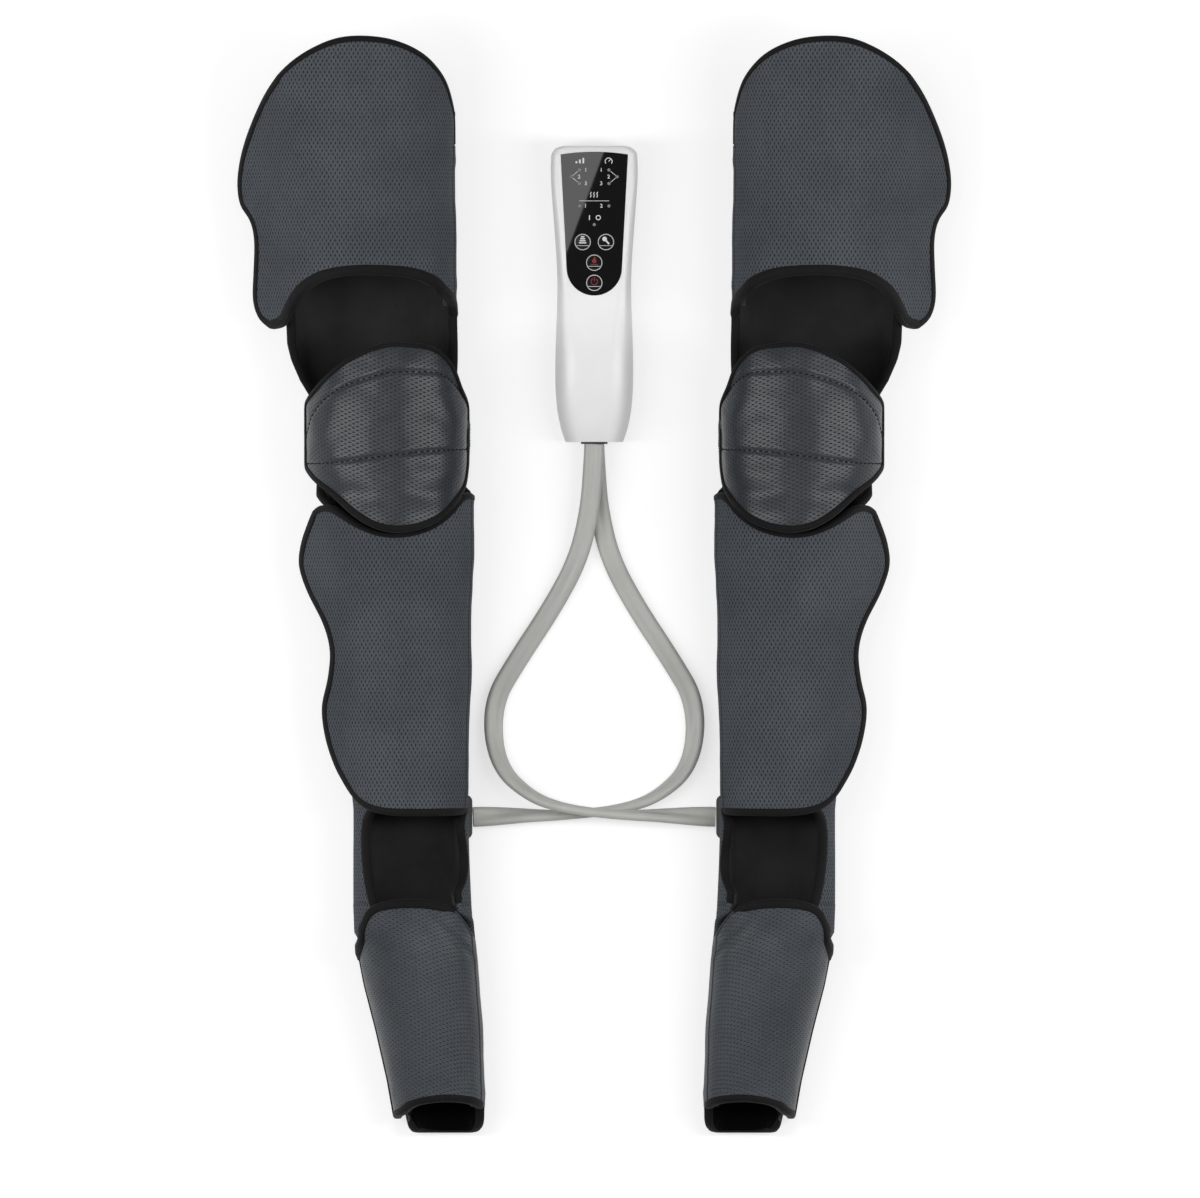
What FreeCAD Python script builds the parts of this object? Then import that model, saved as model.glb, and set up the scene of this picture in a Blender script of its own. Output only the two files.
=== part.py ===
"""Air compression leg massager: two leg sleeves lying on their backs, a handset and two flat air hoses.

Millimetres. X runs across the pair, Y from the toes to the thighs, Z up from the floor.
"""
import FreeCAD
import Part
import math
import os
from collections import namedtuple

from FreeCAD import Vector

# Sleeve: lengths of its stretches, from the thigh to the toes
thigh_length = 216
knee_length = 135
calf_length = 228
ankle_length = 72
foot_length = 171
half_spacing = 105  # from the middle of the pair to a sleeve's inner edge at the thigh
thigh_width = 145

# Layers of the wall
cover_thickness = 3
lining_thickness = 2
air_space = 5
seat_gap = 0.3
hook_thickness = 1.5
air_line_diameter = 3.4
air_line_bend = 8
air_line_degrees = 72
bladder_inner_degrees = 58
bladder_outer_degrees = 62

# Flap patterns seen from above
thigh_reach = 165
calf_reach = 132
foot_reach = 100
thigh_flare_length = 75
calf_flare_length = 52
foot_flare_length = 14
flare_degrees = 125
foot_flare_degrees = 92

# Knee pad
pad_width = 123
pad_length = 145
pad_overhang = 12  # past the sleeve's inner edge
pad_lobe = 23  # reach of its lower lobe past the top of the calf
pad_gap = 1
pad_lift = 8
pad_crown = 15
pad_edge = 10.5
pad_tip = 6
pad_groove_width = 3
pad_groove_depth = 2
heater_thickness = 0.8
heater_degrees = 130
strap_width = 30
strap_thickness = 2
strap_degrees = 30

# Hose and its inlet on the ankle
hose_width = 15
hose_thickness = 6.5
inlet_length = 33
inlet_height = 27
inlet_base = 4
inlet_face_x = 91.5
inlet_round = 5
inlet_hose_z = 13
boot_seat_degrees = 120
nipple_radius = 1.5
nipple_z = 28

# Handset
handset_length = 222
handset_width = 65.25
handset_height = 40
handset_end_y = 107
handset_wall = 2.5
handset_split_z = 16
panel_thickness = 2
panel_top_width = 50.5
panel_low_width = 41.3
panel_arch = 2
panel_round = 19.5
panel_gap = 0.1
bed_thickness = 2.5
bed_margin = 4
key_gap = 0.2
key_cap = 1.5
key_proud = 0.3
key_travel = 0.5
key_side_x = 8.75
stem_radius = 2
stem_gap = 0.3
board_width = 42
board_thickness = 1.6
board_drop = 4.5
board_gap = 0.4
post_radius = 2.5
post_inset = 6.5
switch_side = 6
switch_height = 2.5
plunger_radius = 1.7
plunger_height = 0.5
led_radius = 1.2
led_gap = 0.3
boss_radius = 4.5
boss_low_x = 18.5
screw_head_radius = 2.9
screw_head_height = 2.5
screw_seat_z = 10
screw_radius = 1.25
screw_hole_radius = 1.7
screw_pilot_radius = 1.3
screw_tip_z = 26
counterbore_gap = 0.2
motor_radius = 12
pump_radius = 13.5
pump_axis_z = 19
rib_thickness = 3
rib_gap = 0.15
rib_width_share = 0.6
valve_width = 12
valve_height = 13.5
valve_side_x = 9
manifold_width = 30
tube_radius = 2.4
tube_side_x = 11
tube_side_z = 7
tube_middle_z = 13
grommet_width = 20
grommet_proud = 1.5
grommet_base_z = 5.5
grommet_height = 19
grommet_round = 3
grommet_flange = 2
grommet_flange_length = 2.5
hose_upper_z = 19.5
hose_lower_z = 10.5
socket_x = 0
socket_z = 11.5
socket_radius = 3.9
socket_bore = 2.8
socket_depth = 9
socket_length = 12
socket_pin = 1
socket_pin_length = 8
socket_flange = 4.6
socket_flange_length = 1.5

overrun = 20

sleeve_length = thigh_length + knee_length + calf_length + ankle_length + foot_length
half_length = sleeve_length / 2
wall_thickness = cover_thickness + air_space + lining_thickness
flap_thickness = cover_thickness + seat_gap + lining_thickness
wrap = flap_thickness + hook_thickness + 2 * seat_gap
tall = 2 * thigh_width

thigh_end_y = half_length - thigh_length
calf_start_y = thigh_end_y - knee_length
ankle_y = calf_start_y - calf_length
foot_y = ankle_y - ankle_length
toe_y = -half_length
inlet_y = ankle_y - hose_thickness
pad_start_y = calf_start_y - pad_lobe
pad_inner_x = half_spacing - pad_overhang

# Cross-sections of the sleeve: inner edge, width, and wall radius as a share of the width
top_shares = (1, 1, 0.40)
thigh_end_shares = (0.981, 0.883, 0.406)
knee_shares = (1, 0.697, 0.455)
calf_shares = (0.857, 0.759, 0.409)
ankle_shares = (0.905, 0.586, 0.447)
foot_shares = (0.876, 0.600, 0.414)
toe_shares = (0.781, 0.421, 0.393)
knee_along_share = 0.63
shin_along_share = 0.88
instep_along_share = 0.21
instep_width_share = 0.531

# Plan outlines: across from the inner edge, along from the lower end
thigh_upper_shares = (
    (-0.05, 0.55), (0.03, 0.80), (0.117, 0.917), (0.28, 0.98), (0.48, 1.0), (0.66, 0.957), (0.82, 0.873),
    (0.93, 0.708), (0.968, 0.625), (1.0, 0.49), (0.99, 0.417), (0.949, 0.375), (0.925, 0.31),
    (0.922, 0.23), (0.931, 0.125), (0.913, 0.042), (0.85, -0.008),
)
thigh_lower_shares = (
    (0.85, -0.008), (0.785, 0.02), (0.70, 0.137), (0.61, 0.19), (0.50, 0.204), (0.36, 0.205),
    (0.24, 0.2), (0.15, 0.178), (0.075, 0.137), (0.02, 0.07), (-0.05, -0.02),
)
calf_top_shares = (
    (-0.05, 1.022), (0.076, 0.983), (0.167, 0.944), (0.348, 0.882), (0.508, 0.865), (0.667, 0.896),
    (0.78, 0.948), (0.856, 0.967), (0.917, 0.969),
)
calf_side_shares = (
    (0.917, 0.969), (0.975, 0.885), (0.986, 0.798), (0.945, 0.719), (0.854, 0.607), (0.82, 0.518),
    (0.831, 0.416), (0.858, 0.337), (0.837, 0.255), (0.769, 0.153), (0.683, 0.074), (0.56, 0.016),
    (0.455, 0.007),
)
foot_top_shares = (
    (-0.02, 0.88), (0.1, 0.94), (0.22, 0.98), (0.48, 0.991), (0.73, 0.985), (0.86, 0.955), (0.95, 0.871),
    (1.08, 0.70),
)
foot_low_shares = (
    (1.08, 0.02), (0.663, 0.055), (0.61, 0.1), (0.487, 0.149), (0.326, 0.175), (0.13, 0.16), (-0.06, 0.09),
)
pad_shares = (
    (-0.03, 0.49), (-0.02, 0.63), (0.035, 0.72), (0.057, 0.782), (0.124, 0.865), (0.246, 0.948),
    (0.49, 0.983), (0.64, 0.963), (0.794, 0.917), (0.916, 0.813), (0.99, 0.73), (1.03, 0.60),
    (1.02, 0.47), (0.97, 0.34), (0.886, 0.234), (0.794, 0.13), (0.672, 0.052), (0.52, 0),
    (0.367, 0.027), (0.185, 0.104), (0.093, 0.182), (0.035, 0.25), (-0.02, 0.36),
)
pad_arch_shares = (
    (1.05, 0.44), (0.953, 0.57), (0.898, 0.668), (0.782, 0.756), (0.611, 0.813), (0.477, 0.839),
    (0.337, 0.844), (0.228, 0.839), (0.148, 0.803), (0.087, 0.756), (-0.05, 0.60),
)
pad_cross_shares = (
    (1.05, 0.366), (0.819, 0.373), (0.648, 0.394), (0.477, 0.412), (0.246, 0.435), (-0.05, 0.449),
)

# The back starts below the top of the thigh flap by this share of the thigh
back_drop_share = 0.2593

# Smaller pieces along their stretch of the sleeve: low end, high end, and for hooks the flare they cover
thigh_hook_shares = (0.10, 0.62, 0.12, 0.44)
calf_hook_shares = (0.22, 0.86, 0.05, 0.25)
foot_hook_shares = (0.25, 0.70, 0.15, 0.85)
heater_shares = (0.30, 0.72)
thigh_bladder_shares = (0.08, 0.70)
calf_bladder_shares = (0.06, 0.94)
foot_bladder_shares = (0.12, 0.74)
air_line_low_share = 0.30
air_line_high_share = 0.55
boot_seat_share = 0.5

# Handset sections: along its length from the hose end, width, height and upper corner radius
handset_shares = (
    (0, 0.66, 0.72, 0.30), (0.06, 0.79, 0.85, 0.36), (0.14, 0.874, 0.95, 0.40), (0.25, 0.898, 1, 0.42),
    (0.40, 0.87, 0.985, 0.36), (0.547, 0.85, 0.95, 0.22), (0.68, 0.897, 0.95, 0.18),
    (0.80, 0.958, 0.95, 0.16), (0.90, 1, 0.95, 0.14), (0.955, 0.995, 0.95, 0.14),
    (0.981, 0.955, 0.948, 0.14), (0.992, 0.88, 0.93, 0.14), (1, 0.70, 0.88, 0.14),
)
handset_low_round_share = 0.24
handset_head_share = 0.95

# Handset pieces: places from the hose end, lengths and the keys' radius, all of the handset's length
panel_tip_share = 0.4946
panel_length_share = 0.4856
key_upper_share = 0.67523
key_middle_share = 0.6054
key_lower_share = 0.53739
key_radius_share = 0.02703
board_start_share = 0.51351
board_length_share = 0.43243
boss_low_share = 0.0991
boss_high_share = 0.8964
pump_start_share = 0.13964
motor_length_share = 0.13514
pump_length_share = 0.13514
manifold_start_share = 0.45496
manifold_length_share = 0.03153
valve_length_share = 0.07207

# Indicator places: across from the middle in half widths, along from the hose end
led_shares = (
    (0.337, 0.919), (0.529, 0.896), (0.337, 0.873), (-0.337, 0.919), (-0.529, 0.896), (-0.337, 0.873),
    (0.337, 0.797), (-0.337, 0.797), (0, 0.734),
)

# Hose routes: across in half spacings, along in half sleeve lengths, height in hose thicknesses
upper_route_shares = (
    (-0.010, 0.203, 2.80), (-0.034, 0.132, 2.35), (-0.117, 0.044, 1.30), (-0.305, -0.044, 0.62),
    (-0.540, -0.134, 0.56), (-0.735, -0.218, 0.56), (-0.700, -0.330, 1.10), (-0.455, -0.389, 2.05),
    (-0.190, -0.411, 2.30), (0.200, -0.422, 2.30), (0.560, -0.422, 2.15),
)
lower_route_shares = (
    (0.010, 0.203, 1.35), (0.034, 0.132, 0.75), (0.117, 0.044, 0.56), (0.305, -0.044, 0.54),
    (0.540, -0.134, 0.54), (0.735, -0.218, 0.54), (0.700, -0.330, 0.54), (0.455, -0.389, 0.54),
    (0.190, -0.411, 0.54), (-0.200, -0.422, 0.54), (-0.530, -0.423, 0.62),
)
bend_share = 0.45

Station = namedtuple("Station", "y inner width radius rim")


def station(y, shares, rim):
    inner_share, width_share, radius_share = shares
    width = thigh_width * width_share
    return Station(y, half_spacing * inner_share, width, width * radius_share, rim)


def between(first, last, y):
    share = (y - first.y) / (last.y - first.y)
    return Station(*[a + (b - a) * share for a, b in zip(first, last)])


top = station(half_length, top_shares, 108)
thigh_end = station(thigh_end_y, thigh_end_shares, 102)
knee = station(thigh_end_y - knee_length * knee_along_share, knee_shares, 90)
shin = station(thigh_end_y - knee_length * shin_along_share, knee_shares, 90)
calf = station(calf_start_y, calf_shares, 112)
ankle = station(ankle_y, ankle_shares, 128)
foot = station(foot_y, foot_shares, 138)
toe = station(toe_y, toe_shares, 90)
instep = between(foot, toe, foot_y - foot_length * instep_along_share)
instep = instep._replace(width=thigh_width * instep_width_share, rim=90)
brow = between(top, thigh_end, half_length - thigh_length * back_drop_share)
sleeve = (brow, thigh_end, knee, shin, calf, ankle, foot, instep, toe)


def sleeve_at(y):
    for first, last in zip(sleeve, sleeve[1:]):
        if first.y >= y >= last.y:
            return between(first, last, y)


def on_wall(s, side, radius, degrees):
    """Point on the inner (-1) or outer (1) side wall, turned from straight down."""
    middle = s.inner + s.radius if side < 0 else s.inner + s.width - s.radius
    turn = math.radians(degrees)
    return Vector(middle + side * radius * math.sin(turn), s.y, s.radius - radius * math.cos(turn))


def wall_arc(s, side, radius, first, last):
    ends = [on_wall(s, side, radius, a) for a in (first, (first + last) / 2, last)]
    return Part.Arc(*ends).toShape()


def line(a, b):
    return Part.LineSegment(a, b).toShape()


def ruled(wires):
    return Part.makeLoft(wires, True, True)


def trough_wire(s, shallow, deep, hinge=90, rim=None):
    """Section of the back wall between two depths below its outer face."""
    rim = s.rim if rim is None else rim
    near = s.radius - shallow
    far = s.radius - deep
    return Part.Wire([
        wall_arc(s, -1, near, hinge, 0),
        line(on_wall(s, -1, near, 0), on_wall(s, 1, near, 0)),
        wall_arc(s, 1, near, 0, rim),
        line(on_wall(s, 1, near, rim), on_wall(s, 1, far, rim)),
        wall_arc(s, 1, far, rim, 0),
        line(on_wall(s, 1, far, 0), on_wall(s, -1, far, 0)),
        wall_arc(s, -1, far, 0, hinge),
        line(on_wall(s, -1, far, hinge), on_wall(s, -1, near, hinge)),
    ])


def trough(stations, shallow, deep, **angles):
    return ruled([trough_wire(s, shallow, deep, **angles) for s in stations])


def flare_point(s, depth, flare, length):
    """Point along the straight outer stretch of a flap."""
    turn = math.radians(flare)
    start = on_wall(s, 1, s.radius + wrap - depth, flare)
    return start + Vector(-math.cos(turn), 0, -math.sin(turn)) * length


def flap_wire(s, shallow, deep, flare, length):
    """Section of a flap: up from the hinge, over the top, past the outer wall and straight on."""
    paths = []
    for depth in (shallow, deep):
        inner = s.radius - depth
        outer = s.radius + wrap - depth
        start = 90 + math.degrees(math.asin(seat_gap / inner))
        paths.append([
            wall_arc(s, -1, inner, start, 180),
            line(on_wall(s, -1, inner, 180), on_wall(s, 1, outer, 180)),
            wall_arc(s, 1, outer, 180, flare),
            line(on_wall(s, 1, outer, flare), flare_point(s, depth, flare, length)),
        ])
    near, far = paths
    starts = [path[0].Vertexes[0].Point for path in paths]
    ends = [flare_point(s, depth, flare, length) for depth in (shallow, deep)]
    closing = [line(*ends), line(*starts)]
    return Part.Wire(Part.__sortEdges__(near + far + closing))


def flap_layer(stations, shallow, deep, flare, length):
    return ruled([flap_wire(s, shallow, deep, flare, length) for s in stations])


def hook_strip(shares, low_y, stretch, flare, length):
    """Fastener strip under the straight outer stretch of a flap."""
    low_share, high_share, first_share, last_share = shares
    first = length * first_share
    last = length * last_share
    near = flap_thickness + seat_gap
    far = near + hook_thickness
    wires = []
    for along_share in (low_share, high_share):
        s = sleeve_at(low_y + stretch * along_share)
        places = ((near, first), (near, last), (far, last), (far, first))
        corners = [flare_point(s, depth, flare, reach) for depth, reach in places]
        wires.append(Part.makePolygon(corners + corners[:1]))
    return ruled(wires)


def plan(shares, corner, size):
    return [Vector(corner[0] + size[0] * a, corner[1] + size[1] * b, -overrun) for a, b in shares]


def curve(points, closed=False):
    spline = Part.BSplineCurve()
    spline.interpolate(points, closed)
    return spline.toShape()


def prism(edges, low=-overrun, high=tall):
    """Upright solid over a plan outline."""
    face = Part.Face(Part.Wire(edges))
    face.translate(Vector(0, 0, low - face.BoundBox.ZMin))
    return face.extrude(Vector(0, 0, high - low))


def flap_layers(stations, outline, flare, length):
    cover = flap_layer(stations, 0, cover_thickness, flare, length).common(outline)
    lining = flap_layer(stations, cover_thickness + seat_gap, flap_thickness, flare, length).common(outline)
    return cover, lining


def thigh_flap():
    corner = (thigh_end.inner, thigh_end_y)
    size = (thigh_reach, thigh_length)
    upper = plan(thigh_upper_shares, corner, size)
    lower = plan(thigh_lower_shares, corner, size)
    outline = prism([curve(upper), curve(lower), line(lower[-1], upper[0])])
    low = between(top, thigh_end, thigh_end_y - overrun)
    high = between(top, thigh_end, half_length + overrun)
    hook = hook_strip(thigh_hook_shares, corner[1], thigh_length, flare_degrees, thigh_flare_length)
    return flap_layers((high, low), outline, flare_degrees, thigh_flare_length) + (hook,)


def calf_flap():
    corner = (calf.inner, ankle_y)
    size = (calf_reach, calf_length)
    upper = plan(calf_top_shares, corner, size)
    side = plan(calf_side_shares, corner, size)
    low_corner = Vector(upper[0].x, side[-1].y, side[-1].z)
    outline = prism([curve(upper), curve(side), line(side[-1], low_corner), line(low_corner, upper[0])])
    low = between(calf, ankle, ankle_y - overrun)
    high = between(calf, ankle, calf_start_y + overrun)
    hook = hook_strip(calf_hook_shares, corner[1], calf_length, flare_degrees, calf_flare_length)
    return flap_layers((high, low), outline, flare_degrees, calf_flare_length) + (hook,)


def foot_flap():
    corner = (toe.inner, toe_y)
    size = (foot_reach, foot_length)
    upper = plan(foot_top_shares, corner, size)
    lower = plan(foot_low_shares, corner, size)
    outline = prism([
        curve(upper), line(upper[-1], lower[0]), line(lower[0], lower[1]), curve(lower[1:]),
        line(lower[-1], upper[0]),
    ])
    hook = hook_strip(foot_hook_shares, corner[1], foot_length, foot_flare_degrees, foot_flare_length)
    return flap_layers((foot, instep, toe), outline, foot_flare_degrees, foot_flare_length) + (hook,)


def pad_wire(y, edge, crown):
    """Knee pad section: an arch inside, one crowned arc outside, both ending above the wall's edge."""
    s = knee._replace(y=y)
    inner = s.radius + pad_gap
    outer = inner + edge
    start = 90 + math.degrees(math.asin(pad_lift / inner))
    outer_start = 90 + math.degrees(math.asin(pad_lift / outer))
    crest = Vector(s.inner + s.width / 2, y, s.radius + inner + crown)
    ends = [on_wall(s, side, outer, outer_start) for side in (-1, 1)]
    return Part.Wire([
        wall_arc(s, -1, inner, start, 180),
        line(on_wall(s, -1, inner, 180), on_wall(s, 1, inner, 180)),
        wall_arc(s, 1, inner, 180, start),
        line(on_wall(s, 1, inner, start), ends[1]),
        Part.Arc(ends[1], crest, ends[0]).toShape(),
        line(ends[0], on_wall(s, -1, inner, start)),
    ])


def pad_body(lower):
    low = pad_start_y - overrun
    high = pad_start_y + pad_length + overrun
    places = ((low, pad_tip), (knee.y, pad_crown), (high, pad_tip))
    wires = [pad_wire(y, pad_edge - lower, crown - lower) for y, crown in places]
    return Part.makeLoft(wires, True, False)


def seam_strip(points):
    """Narrow upright solid along a sewn line."""
    sides = ([], [])
    for n, point in enumerate(points):
        along = points[min(n + 1, len(points) - 1)] - points[max(n - 1, 0)]
        across = Vector(-along.y, along.x, 0).normalize() * (pad_groove_width / 2)
        sides[0].append(point + across)
        sides[1].append(point - across)
    left, right = sides
    return prism([curve(left), line(left[-1], right[-1]), curve(right[::-1]), line(right[0], left[0])])


def knee_pad():
    corner = (pad_inner_x, pad_start_y)
    size = (pad_width, pad_length)
    outline = prism([curve(plan(pad_shares, corner, size), True)])
    pad = pad_body(0).common(outline)
    core = pad_body(pad_groove_depth)
    for shares in (pad_arch_shares, pad_cross_shares):
        pad = pad.cut(seam_strip(plan(shares, corner, size)).cut(core))
    return pad


def knee_heater():
    wires = []
    for share in heater_shares:
        s = knee._replace(y=pad_start_y + pad_length * share)
        outer = s.radius + pad_gap - seat_gap
        inner = outer - heater_thickness
        wires.append(Part.Wire([
            wall_arc(s, -1, outer, heater_degrees, 180),
            line(on_wall(s, -1, outer, 180), on_wall(s, 1, outer, 180)),
            wall_arc(s, 1, outer, 180, heater_degrees),
            line(on_wall(s, 1, outer, heater_degrees), on_wall(s, 1, inner, heater_degrees)),
            wall_arc(s, 1, inner, heater_degrees, 180),
            line(on_wall(s, 1, inner, 180), on_wall(s, -1, inner, 180)),
            wall_arc(s, -1, inner, 180, heater_degrees),
            line(on_wall(s, -1, inner, heater_degrees), on_wall(s, -1, outer, heater_degrees)),
        ]))
    return ruled(wires)


def knee_straps():
    """A webbing tab on each side, from the back of the sleeve to just below the pad."""
    tabs = []
    for side in (-1, 1):
        wires = []
        for y in (knee.y, knee.y - strap_width):
            s = knee._replace(y=y)
            inner = s.radius + seat_gap
            outer = inner + strap_thickness
            end = 90 + math.degrees(math.asin((pad_lift - seat_gap) / outer))
            wires.append(Part.Wire([
                wall_arc(s, side, inner, strap_degrees, end),
                line(on_wall(s, side, inner, end), on_wall(s, side, outer, end)),
                wall_arc(s, side, outer, end, strap_degrees),
                line(on_wall(s, side, outer, strap_degrees), on_wall(s, side, inner, strap_degrees)),
            ]))
        tabs.append(ruled(wires))
    return Part.makeCompound(tabs)


def rounded_path(points, bend=None):
    """Straight runs joined by arcs that touch them; returns the wire, its length and its smallest bend."""
    edges = []
    radii = []
    start = points[0]
    for before, corner, after in zip(points, points[1:], points[2:]):
        back = before - corner
        ahead = after - corner
        half_turn = (math.pi - back.getAngle(ahead)) / 2
        reach = bend_share * min(back.Length, ahead.Length)
        if bend:
            reach = min(reach, bend * math.tan(half_turn))
        radius = reach / math.tan(half_turn)
        first = corner + back.normalize() * reach
        last = corner + ahead.normalize() * reach
        toward = (back + ahead).normalize()
        middle = corner + toward * (radius / math.cos(half_turn) - radius)
        edges += [line(start, first), Part.Arc(first, middle, last).toShape()]
        radii.append(radius)
        start = last
    edges.append(line(start, points[-1]))
    return Part.Wire(edges), sum(e.Length for e in edges), radii


def air_line():
    """Tube inside the inner wall, from the inlet up to the thigh."""
    depth = cover_thickness + air_space / 2
    low = sleeve_at(ankle_y - ankle_length * air_line_low_share)
    high = sleeve_at(thigh_end_y + thigh_length * air_line_high_share)
    places = [low, ankle, calf, shin, knee, thigh_end, high]
    points = [on_wall(s, -1, s.radius - depth, air_line_degrees) for s in places]
    path, length, radii = rounded_path(points, air_line_bend)
    profile = Part.Wire(Part.makeCircle(air_line_diameter / 2, points[0], points[1] - points[0]))
    return path.makePipeShell([profile], True, False)


def bladders():
    shallow = cover_thickness + seat_gap
    deep = cover_thickness + air_space - seat_gap
    stretches = (
        (thigh_end_y, thigh_length, thigh_bladder_shares),
        (ankle_y, calf_length, calf_bladder_shares),
        (toe_y, foot_length, foot_bladder_shares),
    )
    solids = []
    for low_y, stretch, shares in stretches:
        ends = [sleeve_at(low_y + stretch * share) for share in shares]
        solids.append(trough(ends, shallow, deep, hinge=bladder_inner_degrees, rim=bladder_outer_degrees))
    return Part.makeCompound(solids)


def nipple():
    depth = cover_thickness + air_space / 2
    s = sleeve_at(inlet_y)
    end = on_wall(s, -1, s.radius - depth, air_line_degrees).x - air_line_diameter / 2 - seat_gap
    base = Vector(inlet_face_x + inlet_round / 2, inlet_y, nipple_z)
    return Part.makeCylinder(nipple_radius, end - base.x, base, Vector(1, 0, 0))


def hose_inlet():
    """Moulded boot on the inner side of the ankle where a hose goes in."""
    depth = half_spacing - inlet_face_x
    block = Part.makeBox(2 * depth, inlet_length, inlet_height)
    block.translate(Vector(inlet_face_x, inlet_y - inlet_length / 2, inlet_base))
    edges = [e for e in block.Edges if e.BoundBox.XMax < inlet_face_x + depth]
    block = block.makeFillet(inlet_round, edges)
    reach = ankle_length * boot_seat_share
    ends = [sleeve_at(ankle_y - reach), ankle, sleeve_at(ankle_y + reach)]
    solid_wires = []
    for s in ends:
        outer = s.radius + seat_gap
        solid_wires.append(Part.Wire([
            wall_arc(s, -1, outer, boot_seat_degrees, 0),
            line(on_wall(s, -1, outer, 0), on_wall(s, 1, outer, 0)),
            line(on_wall(s, 1, outer, 0), on_wall(s, 1, outer, boot_seat_degrees)),
            line(on_wall(s, 1, outer, boot_seat_degrees), on_wall(s, -1, outer, boot_seat_degrees)),
        ]))
    return block.cut(ruled(solid_wires)).fuse(nipple()).removeSplitter()


def leg():
    """All pieces of the sleeve on the positive side."""
    bore = nipple().makeOffsetShape(seat_gap, seat_gap / 10)
    thigh_cover, thigh_lining, thigh_hook = thigh_flap()
    calf_cover, calf_lining, calf_hook = calf_flap()
    foot_cover, foot_lining, foot_hook = foot_flap()
    return {
        "thigh_back_cover": trough((brow, thigh_end), 0, cover_thickness),
        "knee_back_panel": trough((thigh_end, knee, shin, calf), 0, cover_thickness),
        "calf_back_cover": trough((calf, ankle, foot), 0, cover_thickness).cut(bore),
        "sole_cover": trough((foot, instep, toe), 0, cover_thickness),
        "back_lining": trough(sleeve, cover_thickness + air_space, wall_thickness),
        "air_bladders": bladders(),
        "air_line": air_line(),
        "hose_inlet": hose_inlet(),
        "thigh_flap_cover": thigh_cover,
        "thigh_flap_lining": thigh_lining,
        "thigh_hook_strip": thigh_hook,
        "calf_flap_cover": calf_cover,
        "calf_flap_lining": calf_lining,
        "calf_hook_strip": calf_hook,
        "foot_flap_cover": foot_cover,
        "foot_flap_lining": foot_lining,
        "foot_hook_strip": foot_hook,
        "knee_pad": knee_pad(),
        "knee_heater": knee_heater(),
        "knee_straps": knee_straps(),
    }


def hose(route_shares, start_z, side):
    """Flat hose from the handset to the sleeve on the given side."""
    exit_y = handset_end_y - grommet_proud
    points = [Vector(0, exit_y, start_z)]
    points += [Vector(half_spacing * a, half_length * b, hose_thickness * c) for a, b, c in route_shares]
    points.append(Vector(side * (inlet_face_x - 2 * seat_gap), inlet_y, inlet_hose_z))
    path, length, radii = rounded_path(points)
    straight = (hose_width - hose_thickness) / 2
    edge = hose_thickness / 2
    places = ((-straight, edge), (straight, edge), (straight, -edge), (-straight, -edge))
    corners = [Vector(x, exit_y, start_z + z) for x, z in places]
    profile = Part.Wire([
        line(corners[0], corners[1]),
        Part.Arc(corners[1], Vector(straight + edge, exit_y, start_z), corners[2]).toShape(),
        line(corners[2], corners[3]),
        Part.Arc(corners[3], Vector(-straight - edge, exit_y, start_z), corners[0]).toShape(),
    ])
    shell = Part.BRepOffsetAPI.MakePipeShell(path)
    shell.setBiNormalMode(Vector(0, 0, 1))
    shell.add(profile)
    shell.build()
    shell.makeSolid()
    solid = shell.shape()
    area = Part.Face(profile).Area
    print("hose length", round(length), "bends", [round(r) for r in radii])
    print("hose volume share of section times length", round(solid.Volume / (area * length), 3))
    return solid


def handset_wire(row, inset):
    along, width_share, height_share, round_share = row
    y = handset_end_y + handset_length * along
    half = handset_width * width_share / 2 - inset
    low = inset
    high = handset_height * height_share - inset
    upper = max(handset_height * round_share - inset, inset)
    lower = handset_height * handset_low_round_share - inset
    bend = 1 - math.sqrt(0.5)

    def at(x, z):
        return Vector(x, y, z)

    return Part.Wire([
        line(at(-half + lower, low), at(half - lower, low)),
        Part.Arc(at(half - lower, low), at(half - lower * bend, low + lower * bend),
                 at(half, low + lower)).toShape(),
        line(at(half, low + lower), at(half, high - upper)),
        Part.Arc(at(half, high - upper), at(half - upper * bend, high - upper * bend),
                 at(half - upper, high)).toShape(),
        line(at(half - upper, high), at(-half + upper, high)),
        Part.Arc(at(-half + upper, high), at(-half + upper * bend, high - upper * bend),
                 at(-half, high - upper)).toShape(),
        line(at(-half, high - upper), at(-half, low + lower)),
        Part.Arc(at(-half, low + lower), at(-half + lower * bend, low + lower * bend),
                 at(-half + lower, low)).toShape(),
    ])


def handset_form(inset):
    return Part.makeLoft([handset_wire(row, inset) for row in handset_shares], True, False)


def box(low, high):
    size = high - low
    return Part.makeBox(size.x, size.y, size.z, low)


def upright(radius, x, y, low, high):
    return Part.makeCylinder(radius, high - low, Vector(x, y, low))


def lengthways(radius, x, z, first, last):
    return Part.makeCylinder(radius, last - first, Vector(x, first, z), Vector(0, 1, 0))


def along_handset(share):
    return handset_end_y + handset_length * share


panel_tip_y = along_handset(panel_tip_share)
panel_length = handset_length * panel_length_share
key_radius = handset_length * key_radius_share
board_start_y = along_handset(board_start_share)
board_length = handset_length * board_length_share
boss_high_x = board_width / 2 + board_gap + boss_radius
pump_start_y = along_handset(pump_start_share)
motor_length = handset_length * motor_length_share
pump_length = handset_length * pump_length_share
manifold_start_y = along_handset(manifold_start_share)
manifold_length = handset_length * manifold_length_share
valve_length = handset_length * valve_length_share


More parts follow.
